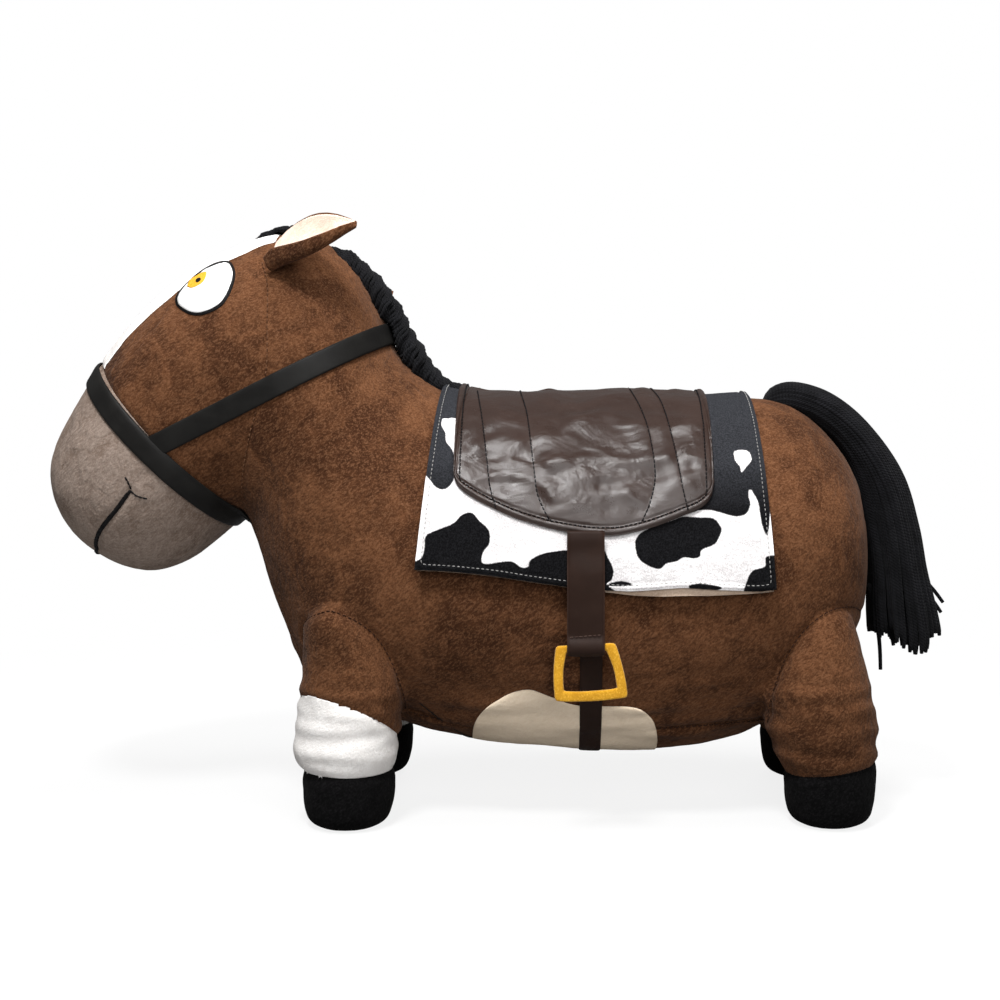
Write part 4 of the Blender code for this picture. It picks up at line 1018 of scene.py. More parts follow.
def strap(name, tree, centre, axis, start, limits, width, lift, look, steps, closed=False):
    """A flat strap round a surface, met from inside. limits gives the turns for a place across it."""
    centre, axis, start = Vector(centre), Vector(axis).normalized(), Vector(start).normalized()
    hits, outs = np.zeros((2, steps, len(STRAP_ACROSS), 3))
    for j, s in enumerate(STRAP_ACROSS):
        first, last = limits(s)
        for i in range(steps):
            turn = first + (last - first) * i / (steps if closed else steps - 1)
            out = Matrix.Rotation(turn, 3, axis) @ start
            hits[i, j], outs[i, j] = tree.ray_cast(centre + axis * (s * width / 2), out)[0], out
    hits = evened(hits, 3, closed)
    drop = (STRAP_THICKNESS * STRAP_DROP)[None, :, None]
    top = hits + outs * (lift + STRAP_THICKNESS - drop)
    low = hits + outs * (lift + drop)
    sides = 2 * len(STRAP_ACROSS)
    points = np.concatenate([top, low[:, ::-1]], axis=1).reshape(-1, 3)
    return mesh_object(name, points, ring_faces(steps, sides, closed=closed), look)


def between_ends(low, high):
    """The middle of two points, the way from one to the other, and the axis square to it."""
    start = Vector(high - low).normalized()
    return (low + high) / 2, start, start.cross(Vector((0, 1, 0)))


def bridle():
    """The noseband, and the cheek strap that runs from it over the neck behind the mane."""
    centre, start, axis = between_ends(place((0.237, 0.489)), place((0.056, 0.745)))
    noseband = strap("noseband_strap", skin_tree, centre, axis, start, lambda s: (0, math.tau),
                     BRIDLE_WIDTH, 0.0006, STRAP, 220, True)
    riding(noseband, "horse", "black_strap", "noseband")
    rear = axis if axis.x > 0 else -axis
    edge = Vector(centre) + rear * (BRIDLE_WIDTH / 2 - 0.0016)
    centre, start, axis = between_ends(place((0.1637, 0.629)), place((0.428, 0.818)))

    def limits(s):
        """The strap ends where it has passed under the noseband's rear edge."""
        middle = Vector(centre) + axis.normalized() * (s * BRIDLE_WIDTH / 2)
        reach = math.radians(100)
        while reach < math.radians(176):
            hit = skin_tree.ray_cast(middle, Matrix.Rotation(reach, 3, axis) @ start)[0]
            if (hit - edge).dot(rear) < 0:
                break
            reach += math.radians(0.5)
        return -reach, reach

    cheek = strap("cheek_strap_band", skin_tree, centre, axis, start, limits,
                  BRIDLE_WIDTH, 0.0004, STRAP, 260)
    riding(cheek, "horse", "black_strap", "cheek_strap")


def girth_piece():
    reach = math.radians(98)
    band = strap("girth_strap", back_tree, (0.068, 0, WRAP_HEIGHT), (1, 0, 0), (0, 0, -1),
                 lambda s: (-reach, reach), GIRTH_WIDTH, 0.0005, LEATHER, 180)
    riding(band, "horse", "brown_leather", "girth")


bridle()
back_tree = tree_of(bpy.data.objects["plush_body"], bpy.data.objects["belly_patch_plush"])
girth_piece()


# Blanket and saddle
BACK = (0.0775, 0, WRAP_HEIGHT)
BLANKET_FRONT, BLANKET_REAR, BLANKET_HEM = -0.040, 0.186, 0.4061 * BODY_HEIGHT
SADDLE_FRONT, SADDLE_REAR = -0.0285, 0.154
FLARES = (0.0125, 0.0080)
COLUMNS, ROWS = ((150, 280))


def draped(tree, xs, drops, rows, crest_lift, hem_lift, flares):
    """A cloth over the back, with a column at each x, and its two hems at the heights in drops.
    Its front and rear corners spread by flares. Returns the grid and its outward normals."""
    grid = np.zeros((rows, len(xs), 3))
    along = 2 * (xs - xs[0]) / (xs[-1] - xs[0]) - 1
    for r, side in enumerate(np.linspace(-1, 1, rows)):
        lift = crest_lift + (hem_lift - crest_lift) * side**4
        for c, x in enumerate(xs):
            turn = side * math.atan2(BODY_WIDTH / 2, drops[c] - WRAP_HEIGHT)
            out = Vector((0, math.sin(turn), math.cos(turn)))
            hit, _ = outermost(tree, (x, 0, WRAP_HEIGHT), out)
            spread = flares[int(along[c] > 0)] * along[c] ** 3 * abs(side) ** 1.4
            grid[r, c] = hit + out * lift + Vector((spread, 0, 0))
    facing = square_to(grid)
    turn = np.sign(((grid - BACK) * facing).sum(axis=2))
    turn[turn == 0] = 1
    return grid, facing * turn[..., None]


def inset_path(top, outward, inset, right):
    """Points and normals of a line that keeps its distance from the rim of one flank."""
    sides, hems = near_edge(top)
    rows, columns = hems.shape
    middle = rows // 2
    order = list(range(rows - 1, middle - 1, -1) if right else range(middle + 1))
    at = [order[int(np.argmin([abs(hems[r, c] - inset) for r in order]))] for c in range(columns)]
    c0 = int(np.argmin(np.abs(sides[middle, : columns // 2] - inset)))
    c1 = columns - 1 - int(np.argmin(np.abs(sides[middle, ::-1][: columns // 2] - inset)))
    path = [(r, c0) for r in order[::-1] if abs(r - middle) < abs(at[c0] - middle)]
    path += [(at[c], c) for c in range(c0, c1 + 1)]
    path += [(r, c1) for r in order if abs(r - middle) < abs(at[c1] - middle)]
    both = np.array([tuple(top[r, c]) + tuple(outward[r, c]) for r, c in path])
    both = resampled(evened(both, 4), 0.001)
    return both[:, :3], unit(both[:, 3:])


def hem_height(xs):
    """The blanket's lower edge: it hangs lower towards the rear."""
    rises = np.interp(xs, (-0.040, -0.022, 0.000, 0.030, 0.064, 0.095, 0.130, 0.155, 0.175, 0.186),
                      (0.0102, 0.0092, 0.0068, 0.0022, -0.0022, -0.0036, -0.0012, -0.0030, -0.0040, -0.0028))
    return BLANKET_HEM + np.convolve(np.pad(rises, 2, "edge"), np.ones(5) / 5, "valid")


def hem_waves(grid):
    """Soft waves that grow towards the hems."""
    side = np.linspace(-1, 1, len(grid))[:, None]
    return 0.0016 * wobbles(grid * (1, 0.3, 0.1), 26, 5.0) * side**4


def lining_piece():
    """The pale lining, which sags below the blanket's hem towards the rear."""
    inset, sag = 0.0016, 0.0048
    xs = np.linspace(BLANKET_FRONT + inset, BLANKET_REAR - inset, 70)
    hem = hem_height(xs) - 0.0004 - sag * hump(xs - 0.128, 0.040)
    grid, outward = draped(back_tree, xs, hem, 150, 0.0008, 0.0062, FLARES)
    # The lining wears the cream plush painted darker: painted shade
    obj, _ = cloth("blanket_lining_fleece", grid, outward, 0.0, 0.0014, 0.001, SHADED_CREAM,
                   "cream_plush", "blanket_lining", lower=hem_waves(grid))


# Outlines of the printed patches on the left flank, in pixels of the photograph
SPOTS = [
    [(430, 378), (459, 378), (458, 404), (456, 414), (448, 414.5), (443, 418), (441.5, 425), (445.5, 433),
     (446, 441), (451, 448), (454.5, 456), (455.5, 470), (453, 481), (448, 487.5), (441.5, 489.5),
     (435, 486.5), (430, 480), (424, 474), (418, 470), (420, 430), (425, 400)],
    [(408, 563), (416, 561), (422, 557), (424.5, 547), (425.5, 536.5), (433, 531.5), (453, 523.5),
     (461.5, 515), (471.5, 512.5), (478.5, 520),
     (488.5, 530), (489.5, 543), (483.5, 551.5), (481.5, 561.5), (487, 564), (500, 562), (512, 561.5),
     (521.5, 567.5), (528.5, 566.5), (530, 560.5), (543.5, 553.5), (566.5, 550), (600, 548), (608, 558),
     (613.5, 570), (611.5, 580), (606.5, 584.5), (606, 600), (410, 600), (405, 575)],
    [(635, 541.5), (640, 533.5), (653.5, 526.5), (673.5, 520), (683.5, 516.5), (700, 517.5), (713.5, 518.5),
     (721.5, 528.5), (718.5, 538.5), (713.5, 545), (701.5, 550), (700, 556.5), (693.5, 558.5),
     (683.5, 557.5), (676.5, 561.5), (666.5, 563.5), (660, 569), (650, 566.5), (640, 560), (636, 551.5)],
    [(706, 378), (760, 378), (775, 400), (775, 440), (772, 480), (768, 535), (761.5, 522), (758.5, 503.5),
     (753.5, 493.5), (749.5, 488.5), (748.5, 496.5), (750.5, 503.5), (746.5, 513.5), (736.5, 516.5),
     (723.5, 513.5),
     (710, 510), (700, 510), (690, 506), (690, 440)],
    [(748.5, 576.5), (753.5, 570), (765, 566.5), (766.5, 556.5), (785, 560), (785, 600), (745, 600)],
    [(609, 583.5), (620, 581), (632, 583.5), (630, 586), (609, 586)],
    [(689, 585), (700, 583.5), (720, 586.5), (718, 590), (692, 590)],
]
HOLES = [
    [(733.5, 451.5), (740, 450), (748.5, 451.5), (751.5, 460), (746.5, 466.5), (741.5, 472.5),
     (740, 466.5), (735, 460)],
    [(451.5, 406.5), (456, 406), (457, 413), (453, 413.5)],
]


def outline_distance(points, polygon):
    """Signed distances to a closed outline in a plane, positive inside."""
    best = np.full(len(points), 1e9)
    inside = np.zeros(len(points), bool)
    for p, q in zip(polygon, np.roll(polygon, -1, axis=0)):
        edge = q - p
        t = np.clip(((points - p) @ edge) / max(edge @ edge, 1e-12), 0, 1)
        best = np.minimum(best, np.linalg.norm(points - p - t[:, None] * edge, axis=1))
        crosses = (p[1] > points[:, 1]) != (q[1] > points[:, 1])
        with np.errstate(divide="ignore", invalid="ignore"):
            at = (q[0] - p[0]) * (points[:, 1] - p[1]) / (q[1] - p[1]) + p[0]
        inside ^= crosses & (points[:, 0] < at)
    return np.where(inside, best, -best)


def in_view(points):
    """Where the photograph shows points, in pixels. The right flank is taken turned about to face it."""
    x = np.where(points[:, 1] > 0, BLANKET_FRONT + BLANKET_REAR - points[:, 0], points[:, 0])
    scale = (DISTANCE - np.abs(points[:, 1])) / DISTANCE * PIXEL
    return np.stack([VIEW_CENTRE[0] + (x - EYE[0]) / scale,
                     VIEW_CENTRE[1] - (points[:, 2] - EYE[2]) / scale], 1)


def print_values(points):
    """Distance in millimetres to the nearest patch edge, and a share that rises with height and paints the
    dark patches lighter: painted top light.
    """
    flank = in_view(points)
    value = np.full(len(points), -1e9)
    for spot in SPOTS:
        value = np.maximum(value, outline_distance(flank, smoothed(spot + [spot[0]], 4)))
    for hole in HOLES:
        value = np.minimum(value, -outline_distance(flank, smoothed(hole + [hole[0]], 4)))
    x, z = points[:, 0], points[:, 2]
    ends = (x < 0) | (x > 0.14)
    value = np.where((z > 0.285) & ends, np.maximum(value, 6), value)
    # The second share is painted top light on the dark patches
    return value * 0.69, ramp(z, 0.222, 0.257)


def blanket_piece():
    """The printed blanket, with a padded hem that is sewn down along a line of stitches."""
    hem = 0.0046
    xs = np.linspace(BLANKET_FRONT, BLANKET_REAR, COLUMNS)
    grid, outward = draped(back_tree, xs, hem_height(xs), ROWS, 0.0027, 0.0082, FLARES)
    rim = np.minimum(*near_edge(grid))
    lower = hem_waves(grid) + 0.0004 * wobbles(grid, 34, 2.0)
    relief = 0.0009 * np.sin(math.pi * ramp(rim, 0, hem)) - 0.0007 * hump(rim - hem, 0.0009)
    obj, top = cloth("saddle_blanket_cloth", grid, outward, 0.0, 0.0020, 0.0022, COW, "cow_plush",
                     "saddle_blanket", relief, lower)
    # The mesh keeps the distance to each patch edge and the painted top light
    for name, values in zip(("print_edge", "painted_top_light"), print_values(coords(obj))):
        attribute = obj.data.attributes.new(name, "FLOAT", "POINT")
        attribute.data.foreach_set("value", values.astype(np.float32))
    strands = []
    for right in (False, True):
        stitches(strands, inset_path(top, outward, hem, right), 0.0019, 0.0014, 0.00026)
    riding(tubes("blanket_stitches", strands, PALE_THREAD), "horse", "white_felt")
    return tree_of(obj)


# Lines on the saddle's left flank, in pixels of the photograph
QUILTING = [
    [(477.3, 391), (481.7, 417), (486, 453), (490, 487), (496.7, 510)],
    [(520, 391), (526.7, 413), (530.7, 443), (534, 470), (537.3, 493), (545, 512), (553, 524)],
    [(629.5, 389), (640, 407), (648.3, 430), (654, 460), (655, 480), (650, 503), (641.7, 522)],
    [(650, 388), (660, 400), (668.3, 423), (676.7, 457), (683.3, 490), (688.3, 511)],
]
SADDLE_EDGE = [
    (453, 457), (454.5, 467), (458, 477.5), (464, 485.5), (472, 492.5), (482, 500), (493, 507), (509, 516),
    (527, 523.5), (547, 530), (567, 535), (590, 538.5), (614, 538.8), (632, 535.5), (650, 530), (667, 523),
    (683, 515.5), (696, 509), (705, 502), (711, 493), (714, 481), (715.5, 465),
]
# Soft ridges across the saddle: their heights in metres and their pixels
CREASES = [
    (0.0016, [(566, 432), (590, 421), (622, 424), (660, 431), (708, 427)]),
    (0.0013, [(585, 408), (622, 402), (655, 388), (690, 370)]),
    (-0.0012, [(560, 418), (600, 410), (640, 414), (700, 410)]),
    (0.0013, [(548, 470), (585, 462), (630, 466), (668, 460)]),
    (0.0012, [(478, 448), (500, 441), (520, 446)]),
    (-0.0012, [(470, 462), (500, 458), (535, 466), (560, 484)]),
    (0.0012, [(470, 484), (505, 476), (540, 486), (552, 500)]),
    (-0.0011, [(600, 488), (640, 482), (690, 470)]),
]


def saddle_piece():
    """The glossy saddle: quilted lines, a rolled rim, dents, and creases where it has been folded."""
    scale = PIXEL * (DISTANCE - 0.121) / DISTANCE
    edge = smoothed([in_plane(px, py, scale) for px, py in SADDLE_EDGE], 6)
    count = COLUMNS + 30
    share = (1 - np.cos(np.linspace(0, math.pi, count))) / 2
    xs = SADDLE_FRONT + (SADDLE_REAR - SADDLE_FRONT) * (0.45 * share + 0.55 * np.linspace(0, 1, count))
    squeeze = np.interp(xs, (SADDLE_FRONT, SADDLE_REAR), (edge[0, 0], edge[-1, 0]))
    order = np.argsort(edge[:, 0])
    drops = np.interp(squeeze, edge[order, 0], edge[order, 1])
    grid, outward = draped(blanket_tree, xs, drops, ROWS, 0.0004, 0.0004, (-0.0012, -0.0012))
    rim = np.minimum(*near_edge(grid))
    flat = in_view(grid.reshape(-1, 3))

    def away_from(pixels):
        """Each grid point's distance from a line of pixels, in metres."""
        path = resampled(smoothed(pixels, 6), 5)
        nearest = np.full(len(flat), 1e9)
        for a, b in zip(path[:-1], path[1:]):
            t = np.clip(((flat - a) @ (b - a)) / ((b - a) @ (b - a)), 0, 1)
            nearest = np.minimum(nearest, np.linalg.norm(flat - a - t[:, None] * (b - a), axis=1))
        return nearest.reshape(rim.shape) * 0.7e-3

    x, y, z = grid.transpose(2, 0, 1)
    line = np.min([away_from(pixels) for pixels in QUILTING], axis=0)
    broad = wobbles(np.stack([x * 0.75 + 0.45 * z, y * 0.3, z * 1.3], 2), 24, 9.0)
    folds = np.abs(wobbles(np.stack([x * 0.7 + 0.5 * z, y * 0.4, z * 2.0 - 0.25 * x], 2), 34, 4.0))
    dents = wobbles(grid * (1, 0.6, 1.2), 62, 14.0)
    inner = ramp(rim, 0.007, 0.021)
    relief = inner * (0.0012 * (1 - np.exp(-line / 0.006)) + 0.0026 * broad + 0.0020 * (0.25 - folds)
                      + 0.0009 * dents)
    relief += 0.0012 * np.sin(math.pi * ramp(rim, 0, 0.0060)) - 0.0009 * hump(rim - 0.0066, 0.0010)
    for height, pixels in CREASES:
        relief += inner * height * hump(away_from(pixels), 0.0042)
    obj, top = cloth("saddle_leather", grid, outward, 0.0, 0.0026, 0.0020, SADDLE, "brown_leather",
                     "saddle", relief)
    strands = []
    for right in (False, True):
        stitches(strands, inset_path(top, outward, 0.0066, right), 0.0024, 0.0008, 0.00055)
    tree = tree_of(obj)
    for pixels in QUILTING:
        path = seen_curve(tree, pixels)
        for one in (path, snapped(tree, flip(path))):
            stitches(strands, one, 0.0030, 0.0005, 0.00050, 0.15)
    riding(tubes("saddle_stitches", strands, DARK_THREAD), "horse", "black_felt")


lining_piece()
blanket_tree = blanket_piece()
saddle_piece()


# Ears
EAR_ROOT = Vector((-0.158855, -0.054989, 0.396456))
EAR_ACROSS = Vector((0.150805, 0.703819, 0.694187)).normalized()
EAR_POINTING = Vector((0.818, -0.483, 0.312)).normalized()
EAR_LENGTH = 0.077
# At even steps from root to tip: the leaf's upper edge, its lower fold, and the wall that folds up
EAR_UPPER = (0.0250, 0.0320, 0.0330, 0.0312, 0.0280, 0.0235, 0.0180, 0.0112, 0.0044)
EAR_LOWER = (-0.0095, -0.0108, -0.0118, -0.0122, -0.0120, -0.0100, -0.0068, -0.0020, 0.0018)
EAR_WALL = (0.0105, 0.0148, 0.0138, 0.0124, 0.0110, 0.0093, 0.0070, 0.0042, 0.0008)


def ear_piece(side, pointing, sign, spread=1.0):
    """An outer leaf whose lower wall folds up in front, and the pale lining inside it."""
    inwards = pointing.cross(EAR_ACROSS)
    rows, columns = 60, 56
    along = np.linspace(0, 1, len(EAR_UPPER))
    grid = np.zeros((rows, columns, 3))
    for r, u in enumerate(np.linspace(0, 1, rows)):
        upper, low, wall = (np.interp(u, along, table) for table in (EAR_UPPER, EAR_LOWER, EAR_WALL))
        upper *= spread
        middle = (upper + low * 2) / 3
        bulge = math.sin(math.pi * u)
        near = np.array(((middle, 0.0), (low - 0.0015, -0.0015), (low - 0.0010, 0.25 * wall),
                         (low + 0.594 * wall, 0.803 * wall)))
        for c, v in enumerate(np.linspace(0, 1, columns)):
            if v < 0.5:
                t = 1 - v / 0.5
                a, n = ((1 - t) ** 3, 3 * t * (1 - t) ** 2, 3 * t * t * (1 - t), t**3) @ near
            else:
                t = (v - 0.5) / 0.5
                a, n = middle + (upper - middle) * t, 0.0065 * bulge * t * t
            shape = 0.5 + 0.5 * math.cos(math.tau * min(abs(v - 0.6) * 1.6, 0.5))
            n += 0.0010 * bulge * math.sin(9 * u) * shape
            start = -0.006 * (1 - u) ** 3 * ramp(a, -0.009, 0.011) * (0.35 if v < 0.5 else 1)
            grid[r, c] = EAR_ROOT + pointing * (u * EAR_LENGTH + start) + EAR_ACROSS * a + inwards * n
    outward = square_to(grid)
    if (outward[rows // 2, columns // 2 + 6] * np.array(inwards)).sum() > 0:
        outward = -outward
    grid, outward = grid * (1, sign, 1), outward * (1, sign, 1)
    leaf, _ = padded_grid(f"ear_plush_{side}", grid, outward, -0.0002, 0.0024, 0.0012, BROWN)
    inner = slice(0, rows - 1), slice(2, columns - 2)
    lining, _ = padded_grid(f"ear_lining_plush_{side}", grid[inner], -outward[inner],
                            -0.0004, 0.0018, 0.0016, LINING)
    for piece, slot, node in ((leaf, "brown_plush", "ear"), (lining, "pink_plush", "ear_lining")):
        hinged(piece, f"{node}_{side}")


ear_piece("left", EAR_POINTING, 1)
ear_piece("right", Matrix.Rotation(math.radians(46), 3, EAR_ACROSS) @ EAR_POINTING, -1, 0.50)


# Yarn
def mane_piece():
    """Loops of yarn laid side by side over the crest, leaning, in two layers, and held by the strap."""
    path = smoothed([place(p) for p in MANE_PATH + [(0.488, 0.7125), (0.506, 0.7075)]], 20)
    run = run_of(path)
    length = run[-1]
    rough = np.random.default_rng(21)
    along = np.linspace(0, length, 400)
    pinch = along[np.argmin(np.linalg.norm(between(along, run, path) - place((0.4015, 0.832)), axis=1))]
    strands = []
    for half, high, gap in ((0.0140, 0.0078, 0.0030), (0.0158, 0.0094, 0.0025)):
        count = int(length / gap)
        for start in (np.arange(count) + 0.5) * length / count:
            lump = 1 + 0.08 * math.sin(start * 520) + 0.04 * math.sin(start * 233 + 1)
            lump += rough.uniform(-0.03, 0.03)
            lean = 0.011 + rough.uniform(-0.0015, 0.0015)
            held = hump(start - pinch, 0.010)
            turns = np.radians(np.linspace(-128, 128, 25)) * (1 - 0.27 * held)
            crimp = 0.0009 * np.sin(turns * 5.5 + rough.uniform(-1, 1))
            at = start - lean * np.sin(turns / 1.45) * 0.9 - 0.002 * np.cos(turns) + crimp
            at = np.clip(at, 0, length)
            taper = np.interp(at / length, (0, 0.12, 0.72, 0.86, 1), (0.62, 1, 1.05, 0.86, 0.50)) * lump
            before, ahead = (between(np.clip(at + step, 0, length), run, path) for step in (-0.002, 0.002))
            up = np.cross(unit(ahead - before), (0, -1, 0))
            if up[12, 2] + up[12, 0] < 0:
                up = -up
            line = between(at, run, path) + up * (high * taper * np.cos(turns))[:, None]
            line[:, 1] += half * taper * np.sin(turns) * (1 - 0.30 * held)
            strands.append((line, 0.00145))
    riding(tubes("mane_yarn", strands, YARN, 8), "horse", "black_yarn", "mane")


def forelock_piece():
    """Wavy strands that lie forwards over the forehead."""
    forelock = ((0.322, 0.985), (0.305, 0.996), (0.290, 0.996), (0.268, 0.986), (0.248, 0.974))
    path = resampled(smoothed([place(p) for p in forelock], 12), 0.0016)
    rough = np.random.default_rng(5)
    strands = []
    for i, side in enumerate(np.linspace(-0.0125, 0.0125, 13)):
        line = path[: max(6, int(len(path) * rough.uniform(0.82, 1.0)))].copy()
        u = np.linspace(0, 1, len(line))
        line[:, 1] = side * (0.55 + 0.5 * u) + 0.0014 * np.sin(9 * u + i)
        line[:, 2] += 0.0021 * np.sin(24 * u + 0.12 * i) * (0.35 + 0.65 * u) - 4.5 * line[:, 1] ** 2 - 0.0006
        line[:, 0] += 0.0010 * np.sin(37 * u + 0.3 * i)
        strands.append((line, 0.0018))
    riding(tubes("forelock_yarn", strands, YARN, 8), "horse", "black_yarn", "forelock")


# How far each part of the tail's lower end reaches, from its front to its back
TAIL_ENDS = [
    (-1.00, 0.925), (-0.86, 0.930), (-0.62, 0.935), (-0.40, 0.955), (-0.20, 0.965), (0.05, 0.975),
    (0.25, 0.985), (0.45, 0.980), (0.60, 0.965), (0.75, 0.950), (0.90, 0.925), (1.00, 0.890),
]
# Rings of strands in the tail's bundle: their radius as a share, and their number
TAIL_RINGS = ((0.94, 50), (0.66, 30), (0.30, 12))
TAIL_HUG = (0.012, 0.012, 0.014, 0.013, 0.010, 0.004, 0, 0, 0, 0)
YARN_RADIUS = 0.00175
# Loose ends of yarn, from pixel to pixel of the photograph
WISPS = [((926, 581), (944, 603)), ((926, 592), (942, 613)), ((923, 600), (938, 622)),
         ((922, 608), (931, 636)),
         ((876, 626), (879, 668)), ((908, 625), (915, 654)), ((887, 628), (892, 644))]


def tail_strand(i, ring, turn, stop, run, middle, reach, wide):
    """One strand of a bundle: its place in the bundle is ring and turn, its end a share of the run."""
    u, v = ring * math.cos(turn), ring * math.sin(turn)
    lock = round(u * 4.2) / 4.2
    at = np.linspace(0, min(stop, 1.0), 60) * run[-1]
    share = at / run[-1]
    bunch = 0.06 * np.sin(share * 7 + 3 * lock + 1.1) * (1 - ring * 0.4)
    uu = u + (lock - u) * (0.10 * share + 0.34 * share**4) + bunch * 0.35
    uu -= 0.13 * np.clip((uu + 1) / 2, 0, 1) * hump(share - 0.62, 0.26)
    line = between(at, run, middle) + between(at, run, reach) * uu[:, None]
    line[:, 1] += np.interp(at, run, wide) * v * (1 - 0.05 * np.sin(share * 9 + 5 * lock))
    if stop > 1:
        ahead = unit(line[-1] - line[-2])
        line = np.r_[line, line[-1] + ahead * np.arange(1, 5)[:, None] * (stop - 1) * run[-1] / 4]
    sway = np.linspace(0, 1, len(line)) ** 3
    line[:, 0] += 0.0016 * sway * math.sin(7.3 * i)
    line[:, 1] += 0.0016 * sway * math.cos(5.1 * i)
    return line


def tail_piece():
    """Long strands in locks, filling a bundle that bends over the rump and hangs down."""
    sections = [((0.8790, 0.6500), (0.8765, 0.6840), 0.20)]
    sections += [((x - hug * 0.55, z - hug), outer, wide)
                 for ((x, z), outer, wide), hug in zip(TAIL_SECTIONS[:-1], TAIL_HUG)]
    sections.append(((1.0115, 0.2465), (1.0960, 0.2560), 0.80))
    dense = smoothed([np.r_[place(inner), place(outer), wide * TAIL_WIDTH / 2]
                      for inner, outer, wide in sections], 10)
    inner, outer, wide = dense[:, :3], dense[:, 3:6], dense[:, 6]
    middle, reach = (inner + outer) / 2, (outer - inner) / 2
    run = run_of(middle)
    rough = np.random.default_rng(8)
    places = [(ring, math.tau * (k + 0.5 * rough.random()) / count)
              for ring, count in TAIL_RINGS for k in range(count)]
    ends = np.array(TAIL_ENDS)
    strands = []
    for i, (ring, turn) in enumerate(places):
        stop = np.interp(ring * math.cos(turn), ends[:, 0], ends[:, 1]) + rough.uniform(-0.020, 0.016)
        line = tail_strand(i, ring, turn, stop, run, middle, reach, wide)
        radius = np.full(len(line), YARN_RADIUS)
        radius[-1] = 0.0013
        strands.append((line, radius))
    for start, stop in WISPS:
        first, last = (np.insert(in_plane(*pixel), 1, 0.0) for pixel in (start, stop))
        above = first + (first - last) * 0.9 + (-0.004, 0, 0.004)
        line = smoothed([above, first, (first + last) / 2 + (0.0006, 0.001, 0), last], 6)
        line[:, 1] = 0.006 * math.sin(40 * start[0])
        strands.append((line, np.linspace(YARN_RADIUS, 0.0014, len(line))))
    hinged(tubes("tail_yarn", strands, YARN, 8), "tail")


mane_piece()
forelock_piece()
tail_piece()


# Stirrups
LEATHER_X, LEATHER_WIDTH = 0.064, 0.0255
HINGE_Y, HINGE_Z, LOOP_Y, LOOP_Z = 0.12217, 0.203545, 0.12457, 0.132245
STIRRUP_TILT, STIRRUP_LEAN = 0.055, 0.11
STIRRUP_HEIGHT, BAR, HALF_TOP_BAR = 0.037, 0.0068, 0.0024


def leather_piece(side, sign):
    """The hanging strap, folded round the stirrup's bar and sewn to itself."""
    turn = np.radians(np.linspace(0, 180, 15))
    front = [(HINGE_Y - 0.0016, HINGE_Z + 0.0075), (HINGE_Y, HINGE_Z + 0.002),
             (HINGE_Y + 0.0006, HINGE_Z - 0.008), (LOOP_Y + 0.0010, HINGE_Z - 0.022),
             (LOOP_Y + 0.0011, 0.160), (LOOP_Y + 0.0011, 0.1425), (LOOP_Y + 0.0018, 0.1390),
             (LOOP_Y + 0.0040, 0.1355)]
    bar = [(LOOP_Y + 0.0046 * math.cos(t), LOOP_Z - 0.0046 * math.sin(t)) for t in turn]
    back = [(LOOP_Y - 0.0036, 0.1385), (LOOP_Y - 0.0009, 0.1455), (LOOP_Y - 0.0008, 0.152)]
    line = resampled(smoothed(front + bar + back, 6), 0.0012)
    ahead = unit(np.gradient(line, axis=0))
    grid, outward = np.zeros((2, len(line), 21, 3))
    for c, across in enumerate(np.linspace(-1, 1, 21)):
        shift = across * LEATHER_WIDTH / 2
        for r, ((y, z), (way_y, way_z)) in enumerate(zip(line, ahead)):
            rise = 0.0005 * (1 - across**2) + 0.0004 * wobble((shift, r * 0.0012, 0), 60, 3.0)
            grid[r, c] = (LEATHER_X + shift, -sign * (y - way_z * rise), z + way_y * rise)
            outward[r, c] = (0, sign * way_z, way_y)
    band, _ = padded_grid(f"stirrup_strap_{side}", grid, outward, -0.0008, 0.0016, 0.0008, LEATHER)
    hinged(band, f"stirrup_leather_{side}")
    xs = np.linspace(-1, 1, 30) * (LEATHER_WIDTH / 2 - 0.002)
    where = np.stack([LEATHER_X + xs, np.full(30, -sign * (LOOP_Y + 0.0031)), 0.1408 + 0.08 * xs], 1)
    strands = []
    stitches(strands, (where, np.tile((0, -sign, 0.0), (30, 1))), 0.0022, 0.0009, 0.00036)
    sewn = tubes(f"stirrup_strap_stitches_{side}", strands, STRAP_THREAD)
    riding(sewn, f"stirrup_leather_{side}", "black_felt")


